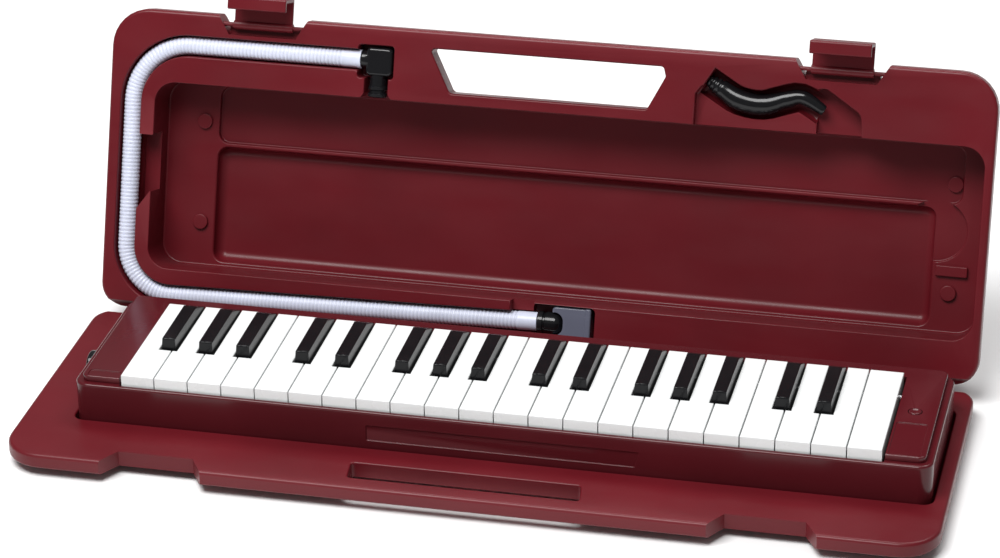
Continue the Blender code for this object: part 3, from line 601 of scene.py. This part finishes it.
def case_outline(lid):
    """The plan of one case half: large corners at the handle side, small ones at the hinge."""
    sides = [(-CASE_HALF_WIDTH, HINGE_GAP), (CASE_HALF_WIDTH, HINGE_GAP)]
    sides += [(CASE_HALF_WIDTH, CASE_DEPTH), (-CASE_HALF_WIDTH, CASE_DEPTH)]
    radii = [NECK_CORNER, NECK_CORNER, CASE_CORNER, CASE_CORNER]
    outline = rounded(sides, radii)
    if lid:
        return outline
    return [(x, -y) for x, y in reversed(outline)]


def notch(middle, width, deep, shallow):
    """A cutter for a latch notch in an edge, with a slope at each end."""
    left, right = middle - width / 2, middle + width / 2
    slope = abs(shallow - deep) * 0.6
    outline = [(left, deep), (right, deep), (right + slope, shallow), (left - slope, shallow)]
    if deep > shallow:
        outline.reverse()
    return loft("notch", [(-0.03, outline), (0.01, outline)])


def hinge_line(radius):
    reach = CASE_HALF_WIDTH + 0.01
    return rod("hinge_line", (-reach, 0, 0), (reach, 0, 0), radius)


def knuckles(offsets, web_low, web_high):
    """Hinge knuckles at each station, each with rounded ends and a small web into the rim."""
    shapes = []
    for station in HINGE_STATIONS:
        for shift in offsets:
            left = station + shift - KNUCKLE_LENGTH / 2 + TOUCH
            right = station + shift + KNUCKLE_LENGTH / 2 - TOUCH
            shapes.append(rod("knuckle", (left, 0, 0), (right, 0, 0), KNUCKLE_RADIUS, 0.0004))
            shapes.append(box("web", (left + 0.0004, *web_low), (right - 0.0004, *web_high)))
    return shapes


def make_case_base():
    surface = -RIM_GAP
    base = slab("base", case_outline(False), -FLANGE, surface, 0.0020, 0.0020)
    tray = rectangle(-0.2325, 0.2525, -0.138, -0.018, 0.008)
    base = join(base, slab("tray", tray, -RIM_HEIGHT, -FLANGE + 0.002, 0.0014, 0.0004))
    well = rectangle(BODY_LEFT - PLAY, BODY_RIGHT + PLAY, BODY_FRONT - PLAY, BODY_BACK + PLAY, 0.006)
    grip = [(-0.0615, -0.1640), (0.0650, -0.1640), (0.0625, -0.1480), (-0.0635, -0.1480)]
    cutters = [
        basin("well", well, BODY_FLOOR - TOUCH, surface, 0.0008, 0.0010),
        basin("grip", rounded(grip, 0.0022), -0.02, surface, 0.0002, 0.0010),
        notch(-0.1690, 0.0420, BASE_NOTCH, -NOTCH_END),
        notch(0.1635, 0.0430, BASE_NOTCH, -NOTCH_END),
        rod("inlet_relief", (-0.2345, INLET_Y, INLET_Z), (-0.220, INLET_Y, INLET_Z), 0.0093),
        hinge_line(HINGE_RELIEF),
    ]
    for x in LATCH_X.values():
        reach = LATCH_WIDTH / 2 + 0.0015
        cutters.append(box("catch", (x - reach, -0.1570, -0.0200), (x + reach, -0.1490, CATCH_FLOOR)))
    base = cut(base, *cutters)
    beside = (-KNUCKLE_LENGTH, KNUCKLE_LENGTH)
    base = join(base, *knuckles(beside, (-0.0075, -0.0052), (-0.0010, -0.0012)))
    base = cut(base, hinge_line(PIN_BORE))
    finish(base, "case_base_shell", CASE_SPACE, CASE_PLASTIC, ROOT, "case_plastic", "case_base")


def hose_route(steps):
    """The hose's path on the lid, from the elbow round the left end to the lower connector."""
    turns = [
        (HOSE_START, HOSE_TOP, 0),
        (HOSE_X, HOSE_TOP, 0.034),
        (HOSE_X, HOSE_LOW, 0.028),
        (HOSE_END, HOSE_LOW + HOSE_RISE, 0),
    ]
    route = [turns[0][:2]]
    for i in (1, 2):
        corner = Vector(turns[i][:2])
        before = (Vector(turns[i - 1][:2]) - corner).normalized()
        after = (Vector(turns[i + 1][:2]) - corner).normalized()
        radius = turns[i][2]
        half = before.angle(after) / 2
        centre = corner + (before + after).normalized() * radius / math.sin(half)
        start = corner + before * radius / math.tan(half) - centre
        sweep = math.pi - 2 * half
        for step in range(steps + 1):
            route.append(tuple(centre + Matrix.Rotation(sweep * step / steps, 2) @ start))
    route.append(turns[3][:2])
    return route


def mouthpiece_route(steps):
    """The short mouthpiece's middle line on the lid, from its socket end to its lips."""
    knots = MOUTHPIECE_KNOTS
    route = []
    for i in range(steps + 1):
        place = i / steps * (len(knots) - 1)
        k = min(int(place), len(knots) - 2)
        t = place - k
        quad = [knots[max(0, min(len(knots) - 1, k + j))] for j in (-1, 0, 1, 2)]
        point = []
        for a, b, c, d in zip(*quad):
            bend = (2 * a - 5 * b + 4 * c - d) * t**2 + (3 * b - a - 3 * c + d) * t**3
            point.append(0.5 * (2 * b + (c - a) * t + bend))
        route.append(tuple(point))
    return route


def lid_pockets():
    """Everything moulded into the lid's inner face."""
    surface = -RIM_GAP
    floor = ROOM_FLOOR
    handle = [(-0.0540, 0.1400), (0.0595, 0.1400), (0.0690, 0.1590), (0.0675, 0.1645), (-0.0668, 0.1645)]
    elbow_way = [
        (-0.1065, 0.1300),
        (-0.0875, 0.1300),
        (-0.0875, 0.1325),
        (-0.0902, 0.1362),
        (-0.0902, 0.1500),
        (-0.1040, 0.1500),
        (-0.1040, 0.1362),
        (-0.1065, 0.1325),
    ]
    shelf = [(0.0865, 0.1300), (0.1552, 0.1300), (0.1552, 0.1480), (0.0900, 0.1560), (0.0865, 0.1510)]
    well = [
        (0.1548, 0.1300),
        (0.1812, 0.1300),
        (0.1797, 0.1462),
        (0.1600, 0.1590),
        (0.1500, 0.1590),
        (0.1548, 0.1476),
    ]
    well_corners = [0.001, 0.001, 0.006, 0.005, 0.005, 0.001]
    inlet = [(-0.2365, 0.0570), (-0.2250, 0.0730), (-0.2250, 0.1030), (-0.2365, 0.1030)]
    inlet.reverse()
    handle_corners = [0.003, 0.003, 0.002, 0.002, 0.002]
    opening = rectangle(-0.2275, 0.2498, 0.0256, 0.1335, 0.012, 12)
    black_room = rectangle(ROOM_LEFT, ROOM_RIGHT, 0.0285, 0.0955, 0.006)
    white_room = rectangle(ROOM_LEFT, 0.2365, 0.0980, 0.1310, 0.006)
    button_room = rectangle(0.2055, 0.2405, 0.0650, 0.1000, 0.0174, 12)
    elbow_room = rectangle(-0.1085, -0.0874, 0.1450, 0.1640, 0.002)
    end_room = rectangle(0.0010, 0.0378, 0.0040, 0.0249, 0.003)
    finger_dip = rectangle(-0.0112, 0.0022, 0.0100, 0.0300, 0.002)
    return [
        basin("opening", opening, floor, surface, 0.0010, 0.0008),
        basin("white_room", white_room, WHITE_ROOM, floor, 0.0008, 0.0008, 0.0004),
        basin("black_room", black_room, BLACK_ROOM, floor, 0.0055, 0.0014, 0.0004),
        basin("button_room", button_room, WHITE_ROOM, floor, 0.0006, 0.0008, 0.0004),
        basin("handle", rounded(handle, handle_corners), -0.03, surface, 0.0002, 0.0012),
        basin("channel", ribbon(hose_route(20), CHANNEL_HALF), CHANNEL_FLOOR, surface, 0.0030, 0.0009),
        basin("elbow_room", elbow_room, CHANNEL_FLOOR, surface, 0.0006, 0.0009),
        basin("elbow_way", rounded(elbow_way, 0.0010, 3), CHANNEL_FLOOR, surface, 0.0007, 0.0008),
        basin("end_room", end_room, -0.0130, surface, 0.0010, 0.0004),
        basin("finger_dip", finger_dip, -0.0070, surface, 0.0010, 0.0010),
        basin("groove", ribbon(mouthpiece_route(18), 0.0084), MOUTH_FLOOR, surface, 0.0030, 0.0010),
        basin("shelf", rounded(shelf, 0.002, 4), -0.0055, surface, 0.0015, 0.0010),
        basin("well", rounded(well, well_corners, 4), MOUTH_FLOOR + 0.0002, surface, 0.0008, 0.0010),
        basin("inlet", rounded(inlet, 0.001, 3), -0.0175, surface, 0.0005, 0.0008),
    ]


def make_case_lid():
    rim = slab("rim", case_outline(True), -LID_RIM, -RIM_GAP, 0.0026, 0.0020)
    shoulder = rectangle(-0.2370, 0.2525, 0.0230, 0.1365, 0.010)
    back = rectangle(-0.1995, 0.2390, 0.0255, 0.0985, 0.008)
    cover = rectangle(0.0830, 0.1850, 0.1280, 0.1668, 0.006)
    solids = [
        slab("shoulder", shoulder, -0.0350, -LID_RIM + 0.003, 0.0032, 0.0004),
        slab("back", back, -0.0395, -0.0330, 0.0030, 0.0004),
        slab("pocket_cover", cover, -0.0152, -0.0110, 0.0015, 0.0004),
    ]
    foot_depth = -0.0420
    bottom = (-RIM_HEIGHT + 0.0001 + foot_depth * math.cos(HINGE_TURN)) / math.sin(HINGE_TURN)
    for x in (-0.150, 0.150):
        foot = rectangle(x - 0.02, x + 0.02, bottom, 0.045, 0.0015, 3)
        root = rectangle(x - 0.02, x + 0.02, 0.006, 0.045, 0.0015, 3)
        solids.append(slab("foot", foot, foot_depth, -0.0300, 0.0008, 0.0004))
        solids.append(slab("foot_root", root, -0.0320, -0.0120, 0.0004, 0.0004))
    lid = join(rim, *solids)
    notches = [notch(x, LATCH_ROOM, LATCH_NOTCH, NOTCH_END) for x in LATCH_X.values()]
    lid = cut(lid, *lid_pockets(), *notches, hinge_line(HINGE_RELIEF))
    bosses = [(x, y, -0.0300, -0.0268) for x, y in ((-0.205, 0.110), (-0.205, 0.051), (0.2325, 0.048))]
    bosses.append((0.2320, 0.1090, WHITE_ROOM - 0.001, -0.0302))
    additions = [rod("boss", (x, y, low), (x, y, high), 0.0045, 0.0006) for x, y, low, high in bosses]
    for x in LATCH_X.values():
        reach = LATCH_ROOM / 2 + 0.001
        additions.append(box("web", (x - reach, 0.1610, -0.0132), (x + reach, 0.1684, -0.0064)))
    ledge = rectangle(0.2245, 0.2425, 0.0575, 0.0635, 0.0008, 3)
    additions.append(slab("ledge", ledge, -0.0300, -0.0265, 0.0004, 0.0006))
    lid = join(lid, *additions, *knuckles((0,), (0.0010, -0.0080), (0.0031, -0.0020)))
    cutters = [hinge_line(PIN_BORE)]
    for x in LATCH_X.values():
        reach = LATCH_WIDTH / 2 + 0.0085
        ends = (x - reach, *LATCH_PIVOT), (x + reach, *LATCH_PIVOT)
        cutters.append(rod("latch_bore", *ends, LATCH_BORE))
    lid = cut(lid, *cutters)
    finish(lid, "case_lid_shell", LID_SPACE, CASE_PLASTIC, "lid", "case_plastic", "case_lid")


def make_latches():
    """Rounded hooks on round barrels."""
    up, out = LATCH_PIVOT
    half, height, reach, wall, lip = 0.0011, 0.0172, 0.0172, 0.0022, 0.0098
    profile = [
        (up + half, out - half),
        (up + height, out - half),
        (up + height, out + reach),
        (up + lip, out + reach),
        (up + lip, out + reach - wall),
        (up + height - wall, out + reach - wall),
        (up + height - wall, out + half),
        (up + half, out + half),
    ]
    profile = rounded(profile, [0.0008, 0.0016, 0.0012, 0.0009, 0.0009, 0.0008, 0.0010, 0.0008], 5)
    for side, x in LATCH_X.items():
        left, right = x - LATCH_WIDTH / 2, x + LATCH_WIDTH / 2
        arm = slab("arm", profile, left + TOUCH, right - TOUCH, 0.0006, 0.0006)
        arm.data.transform(ACROSS)
        latch = join(rod("barrel", (left, up, out), (right, up, out), BARREL_RADIUS, PIN_DOME), arm)
        latch = cut(latch, rod("bore", (left - 0.01, up, out), (right + 0.01, up, out), LATCH_BORE))
        node = "latch_" + side
        finish(latch, node + "_hook", LID_SPACE, CASE_PLASTIC, node, "case_plastic", node)


# Hose and mouthpieces


def make_hose():
    """Corrugated tube with a smooth cuff at each end."""
    corners = hose_route(24)
    lengths = [0.0]
    for first, second in zip(corners, corners[1:]):
        lengths.append(lengths[-1] + math.dist(first, second))
    count = round(lengths[-1] / (HOSE_PITCH / 4))
    path, radii = [], []
    span = 0
    for i in range(count + 1):
        along = lengths[-1] * i / count
        while span < len(corners) - 2 and along > lengths[span + 1]:
            span += 1
        share = (along - lengths[span]) / (lengths[span + 1] - lengths[span])
        point = Vector(corners[span]).lerp(Vector(corners[span + 1]), share)
        path.append((point.x, point.y, HOSE_DEPTH))
        radius = HOSE_MIDDLE + HOSE_RIB * math.cos(math.pi / 2 * (i % 4))
        if min(along, lengths[-1] - along) < HOSE_CUFF_LENGTH:
            radius = HOSE_CUFF
        radii.append(radius)
    hose = swept("hose", path, radii, 20)
    finish(hose, "hose_corrugated", LID_SPACE, HOSE_PLASTIC, "lid", "hose_plastic", "hose", smooth=60)


def make_hose_elbow():
    left = HOSE_START + TOUCH
    collar = left + 0.008
    plan = rectangle(left + 0.0030, -0.0884, 0.1463, 0.1626, 0.0028, 6)
    elbow = slab("block", plan, -0.0119, -0.0010, 0.0016, 0.0020)
    arm = [(0, 0), (0.0048, 0), (0.0055, 0.0007), (0.0055, 0.0022), (0.0049, 0.0028), (0.0049, 0.0040)]
    arm += [(0.0055, 0.0046), (0.0055, 0.0061), (0.0049, 0.0067), (0.0049, 0.0160), (0, 0.0160)]
    parts = [
        rod("collar", (left, HOSE_TOP, HOSE_DEPTH), (collar, HOSE_TOP, HOSE_DEPTH), HOSE_CUFF, 0.0005),
        turned("arm", arm, (ELBOW_X, 0.1340, HOSE_DEPTH), (0, 1, 0)),
    ]
    elbow = join(elbow, *parts)
    node = "hose_elbow"
    finish(elbow, node + "_body", LID_SPACE, BLACK_PLASTIC, "lid", "black_plastic", node)


def make_hose_ferrule():
    """The connector's barrel, with a groove, and its domed nose."""
    barrel, nose = 0.0100, 0.0045
    profile = [(0, 0), (FERRULE_RADIUS - 0.0004, 0), (FERRULE_RADIUS, 0.0004), (FERRULE_RADIUS, 0.0030)]
    profile += [(FERRULE_RADIUS - 0.0006, 0.0034), (FERRULE_RADIUS - 0.0006, 0.0044)]
    profile += [(FERRULE_RADIUS, 0.0048), (FERRULE_RADIUS, barrel)]
    for step in range(1, 8):
        angle = math.pi / 2 * step / 8
        profile.append((FERRULE_RADIUS * math.cos(angle), barrel + nose * math.sin(angle)))
    profile.append((0, barrel + nose))
    at = (HOSE_END + TOUCH, CONNECTOR_Y, HOSE_DEPTH)
    ferrule = turned("ferrule", profile, at, (1, 0, 0))
    node = "hose_ferrule"
    finish(ferrule, node + "_body", LID_SPACE, BLACK_PLASTIC, "lid", "black_plastic", node)


def make_hose_mouthpiece():
    """A flat mouthpiece with an open socket and a raised rim at its far end."""
    face = -0.0016
    plan = rectangle(0.0128, 0.0353, 0.0064, 0.0243, 0.0024, 6)
    rim_plan = rectangle(0.0318, 0.0353, 0.0064, 0.0243, 0.0012, 4)
    mouth = slab("mouth", plan, -0.0116, face, 0.0010, 0.0016)
    rim = slab("rim", rim_plan, -0.0110, -0.0010, 0.0005, 0.0010)
    half = FERRULE_RADIUS + 0.0004
    front, back = CONNECTOR_Y - half, CONNECTOR_Y + half
    socket = [(0.0090, front), (0.0193, front), (0.0193, back), (0.0090, back)]
    socket = rounded(socket, [0.001, 0.005, 0.005, 0.001], 6)
    mouth = cut(join(mouth, rim), basin("socket", socket, -0.0150, face, 0.0002, 0.0005))
    node = "hose_mouthpiece"
    # Its blue-grey colour is a painted reflection on black plastic.
    finish(mouth, node + "_body", LID_SPACE, REFLECTION_GREY_PLASTIC, "lid", "black_plastic", node)


def make_short_mouthpiece():
    """A swan neck: a grooved plug, a thick middle and flat lips."""
    steps, sizes = 96, MOUTHPIECE_SIZES
    path, radii = [], []
    for i, (x, y) in enumerate(mouthpiece_route(steps)):
        place = i / steps * (len(sizes) - 1)
        k = min(int(place), len(sizes) - 2)
        share = place - k
        smooth = share * share * (3 - 2 * share)
        radius = MOUTHPIECE_RADIUS * (sizes[k] + (sizes[k + 1] - sizes[k]) * smooth)
        if i < 14 and i % 4 < 2:
            radius *= 0.88
        end = min(i, steps - i)
        radius *= (0.80, 0.93, 0.98)[end] if end < 3 else 1
        path.append((x, y, MOUTHPIECE_DEPTH))
        radii.append((radius, radius * 0.80))
    mouth = swept("mouthpiece", path, radii, 28)
    node = "short_mouthpiece"
    finish(mouth, node + "_body", LID_SPACE, BLACK_PLASTIC, "lid", "black_plastic", node)


# Instrument body


def make_bottom_case():
    outline = rectangle(BODY_LEFT, BODY_RIGHT, BODY_FRONT, BODY_BACK, BODY_CORNER)
    shell = slab("shell", outline, BODY_FLOOR, BODY_TOP, 0.0012, 0.0014)
    wall = 0.0055
    sides = (BODY_LEFT + wall, BODY_RIGHT - wall)
    ends = rectangle(*sides, BODY_FRONT + wall, BODY_BACK - 0.0022, 0.0005, 2)
    sides = (KEYS_LEFT - 0.0010, KEYS_RIGHT + 0.0010)
    keys = rectangle(*sides, BODY_FRONT + 0.002, BODY_BACK - 0.002, 0.0005, 2)
    plate = [(-0.0597, 0.0038), (0.0878, 0.0038), (0.0905, 0.0130), (-0.0597, 0.0130)]
    plate = rounded(plate, 0.0006, 3)
    plaque = basin("plaque", plate, -BODY_FRONT - 0.0006, -BODY_FRONT, 0.0002, 0.0003)
    plaque.data.transform(Matrix.Rotation(math.pi / 2, 4, "X"))
    outside, inside = BODY_LEFT - 0.01, BODY_LEFT + 0.01
    shell = cut(
        shell,
        loft("end_hollow", [(CASE_FLOOR, ends), (0.03, ends)]),
        loft("key_hollow", [(CASE_FLOOR, keys), (0.03, keys)]),
        rod("inlet_hole", (outside, INLET_Y, INLET_Z), (inside, INLET_Y, INLET_Z), 0.0074),
        plaque,
    )
    rail_front = BODY_FRONT + 0.0070
    rail = box("rail", (KEYS_LEFT, rail_front, CASE_FLOOR - 0.0005), (KEYS_RIGHT, -0.1170, 0.0105))
    shell = join(shell, rail)
    finish(shell, "bottom_case_shell", CASE_SPACE, BODY_PLASTIC, ROOT, "body_plastic", "bottom_case")


def make_top_cover():
    """Two cheeks with sunken panels and the strip behind the keys."""
    low = BODY_TOP + TOUCH
    left, right = BODY_LEFT + LEDGE, BODY_RIGHT - LEDGE
    front, back = BODY_FRONT + LEDGE, BODY_BACK - 0.0012
    inner_left, inner_right = KEYS_LEFT - 0.0012, KEYS_RIGHT + 0.0012
    cover = slab("cover", rectangle(left, right, front, back, 0.004), low, COVER_TOP, 0.0002, 0.0009)
    key_gap = box("key_gap", (inner_left, front - 0.01, 0), (inner_right, KEY_BACK + 0.0005, 0.05))
    cover = cut(cover, key_gap)
    walls = []
    wall_front = BODY_FRONT + 0.0070
    for x in (inner_left - 0.0022, inner_right + 0.0002):
        walls.append(box("cheek_wall", (x, wall_front, 0.0150), (x + 0.0020, -0.0330, low + 0.001)))
    right_panel = rectangle(inner_right + 0.0012, 0.2385, front + 0.0012, -0.0900, 0.0012, 4)
    left_panel = rectangle(-0.2185, inner_left - 0.0012, front + 0.0012, -0.1185, 0.0012, 4)
    cover = cut(
        join(cover, *walls),
        rod("shaft_hole", (-0.25, SHAFT_Y, SHAFT_Z), (0.25, SHAFT_Y, SHAFT_Z), 0.0018),
        rod("drain_well", (DRAIN_X, DRAIN_Y, 0), (DRAIN_X, DRAIN_Y, 0.05), 0.0040),
        basin("right_panel", right_panel, COVER_TOP - 0.0005, COVER_TOP, 0.0002, 0.0003),
        basin("left_panel", left_panel, COVER_TOP - 0.0005, COVER_TOP, 0.0002, 0.0003),
    )
    finish(cover, "top_cover_shell", CASE_SPACE, BODY_PLASTIC, ROOT, "body_plastic", "top_cover")


def make_inlet_socket():
    """The turned socket in the left end, with a rounded rim round its bore."""
    collar, neck, bore, rim = 0.0085, 0.0050, 0.0042, 0.0012
    outer_end, inner_end = (corner[0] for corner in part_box("inlet_socket"))
    seat, depth = BODY_LEFT - TOUCH - outer_end, inner_end - outer_end
    shoulder = seat + 0.008
    profile = [(bore, depth), (neck, depth), (neck, shoulder), (0.0071, shoulder), (0.0071, seat)]
    profile += [(collar - 0.0003, seat), (collar, seat - 0.0003)]
    for step in range(6):
        angle = math.pi / 2 * step / 5
        profile.append((collar - rim * (1 - math.cos(angle)), rim * (1 - math.sin(angle))))
    profile += [(bore + 0.0008, 0), (bore + 0.0002, 0.0003), (bore, 0.0010), (bore, depth)]
    socket = turned("socket", profile, (outer_end, INLET_Y, INLET_Z), (1, 0, 0), 48)
    finish(socket, "inlet_socket_ring", CASE_SPACE, BLACK_PLASTIC, ROOT, "black_plastic", "inlet_socket")


def make_drain_valve():
    """The dished button with its stem and valve, and the coil spring under it."""
    top = COVER_TOP + 0.0005
    under = top - 0.0035
    profile = [(0, top - 0.0005), (0.0018, top - 0.0004), (0.0024, top - 0.0001), (0.0029, top)]
    profile += [(0.0033, top - 0.0002), (0.0036, top - 0.0006), (0.0036, under), (0.0015, under)]
    profile += [(0.0015, 0.0115), (0.0038, 0.0115), (0.0038, 0.0100), (0, 0.0100)]
    button = turned("button", profile, (DRAIN_X, DRAIN_Y, 0), (0, 0, 1), 40)
    node = "drain_button"
    finish(button, "drain_button_cap", CASE_SPACE, BODY_PLASTIC, body_of(node), "body_plastic", node)
    bottom, head = (corner[2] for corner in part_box("drain_spring"))
    coil, wire, turns, per_turn = 0.0026, 0.0003, 4, 32
    path = []
    for i in range(turns * per_turn + 1):
        angle = 2 * math.pi * i / per_turn
        height = bottom - HINGE.z + wire + (head - bottom - 2 * wire) * i / (turns * per_turn)
        path.append((DRAIN_X + coil * math.cos(angle), DRAIN_Y + coil * math.sin(angle), height))
    spring = swept("spring", path, [wire] * len(path), 10)
    spring = finish(spring, "drain_spring_coil", CASE_SPACE, STEEL, ROOT, "steel", "drain_spring")
    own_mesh(spring)


def make_pins():
    """Round pins with slightly domed ends."""
    pins = [("case_hinge_pin", PIN_RADIUS, STEEL, "steel"), ("key_shaft", PIN_RADIUS, STEEL, "steel")]
    pins += [("latch_pin_" + side, LATCH_PIN_RADIUS, CASE_PLASTIC, "case_plastic") for side in LATCH_X]
    for node, radius, surface, slot in pins:
        low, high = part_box(node)
        middle = middle_of(node)
        start, end = (low[0], middle.y, middle.z), (high[0], middle.y, middle.z)
        pin = rod("pin", start, end, radius, PIN_DOME)
        finish(pin, node + "_rod", Matrix.Identity(4), surface, body_of(node), slot, node)


# Carried-over CAD nodes


def body_of(node):
    return frame["nodes"][node]["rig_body"]


def welded(node):
    """The CAD node's mesh with its vertices joined and its flat faces whole."""
    bm = bmesh.new()
    bm.from_mesh(frame["nodes"][node].data)
    bmesh.ops.remove_doubles(bm, verts=bm.verts, dist=2e-6)
    bmesh.ops.dissolve_limit(
        bm, angle_limit=math.radians(0.5), verts=bm.verts, edges=bm.edges, use_dissolve_boundaries=False
    )
    return bm


def bevelled_key(node, surface, slot, width):
    """A key with rounded playing edges: the copy keeps the CAD key's shape."""
    bm = welded(node)
    top = max(vertex.co.z for vertex in bm.verts)
    edges = []
    for edge in bm.edges:
        if len(edge.link_faces) != 2 or edge.calc_face_angle() < math.radians(20):
            continue
        heights = [vertex.co.z for vertex in edge.verts]
        if min(heights) > top - 0.0002:
            edges.append(edge)
    bmesh.ops.bevel(
        bm, geom=edges, offset=width, segments=3, profile=0.5, affect="EDGES", clamp_overlap=True
    )
    obj = new_object(node + "_top", bm)
    finish(obj, node + "_cap", Matrix.Identity(4), surface, body_of(node), slot, node, smooth=30)


def painted(node, surface):
    data = frame["nodes"][node].data
    data.materials.clear()
    data.materials.append(surface)


def make_keys():
    for node in sorted(frame["nodes"]):
        if node.startswith("key_") and node != "key_shaft":
            if "sharp" in node:
                bevelled_key(node, BLACK_KEY, "black_key_plastic", 0.0006)
            else:
                bevelled_key(node, WHITE_KEY, "white_key_plastic", 0.0005)


# Stage


def make_floor():
    outline = rounded([(-4, -4), (4, -4), (4, 4), (-4, 4)], 1.0, 6)
    floor = loft("floor", [(-0.02, outline), (0.0, outline)])
    made, tree, shader = principled("floor_paper", (0.90, 0.90, 0.90), 0.75)
    tint = mixed(tree, spread(tree, noise(tree, 3), 0, 1), (0.885, 0.885, 0.885), (0.915, 0.915, 0.915))
    tree.links.new(tint, shader.inputs["Base Color"])
    floor.data.materials.append(made)


def make_lamp(name, place, target, size, power):
    lamp = bpy.data.lights.new(name, "AREA")
    lamp.shape = "RECTANGLE"
    lamp.size, lamp.size_y = size
    lamp.energy = power
    obj = bpy.data.objects.new(name, lamp)
    bpy.context.scene.collection.objects.link(obj)
    obj.location = place
    obj.rotation_euler = (Vector(target) - Vector(place)).to_track_quat("-Z", "Y").to_euler()


def make_light():
    world = bpy.data.worlds.new("studio")
    bpy.context.scene.world = world
    world.use_nodes = True
    world.node_tree.nodes["Background"].inputs["Color"].default_value = (1, 1, 1, 1)
    world.node_tree.nodes["Background"].inputs["Strength"].default_value = 0.20
    make_lamp("overhead", (-0.35, -0.75, 1.65), (0, 0, 0.05), (1.3, 0.8), 42)
    make_lamp("top_back", (0.2, 0.75, 1.5), (0, 0, 0.05), (1.6, 0.5), 16)


def make_camera():
    """The photograph's camera: round to the right, above, and turned a little on its own axis."""
    back = Vector(
        (
            math.sin(CAMERA_AZIMUTH) * math.cos(CAMERA_ELEVATION),
            -math.cos(CAMERA_AZIMUTH) * math.cos(CAMERA_ELEVATION),
            math.sin(CAMERA_ELEVATION),
        )
    )
    right = (-back).cross(Vector((0, 0, 1))).normalized()
    up = right.cross(-back)
    across = right * math.cos(CAMERA_ROLL) + up * math.sin(CAMERA_ROLL)
    rise = -right * math.sin(CAMERA_ROLL) + up * math.cos(CAMERA_ROLL)
    data = bpy.data.cameras.new("camera")
    data.lens = CAMERA_LENS
    data.sensor_width = CAMERA_SENSOR
    data.clip_start, data.clip_end = 0.05, 50
    camera = bpy.data.objects.new("camera", data)
    bpy.context.scene.collection.objects.link(camera)
    turn = Matrix((across, rise, back)).transposed().to_4x4()
    camera.matrix_world = Matrix.Translation(CAMERA_TARGET + back * CAMERA_DISTANCE) @ turn
    bpy.context.scene.camera = camera


PAINT = {
    "air_chamber": BLACK_PLASTIC,
    "chamber_gasket": RUBBER,
    "reed_plate": BRASS,
    "spring_comb": STEEL,
    "front_felt": FELT,
}
make_camera()
make_floor()
make_light()
for node, surface in PAINT.items():
    painted(node, surface)
make_case_base()
make_case_lid()
make_latches()
make_hose()
make_hose_elbow()
make_hose_ferrule()
make_hose_mouthpiece()
make_short_mouthpiece()
make_bottom_case()
make_top_cover()
make_inlet_socket()
make_drain_valve()
make_pins()
make_keys()
bpy.context.scene.view_settings.view_transform = "Standard"
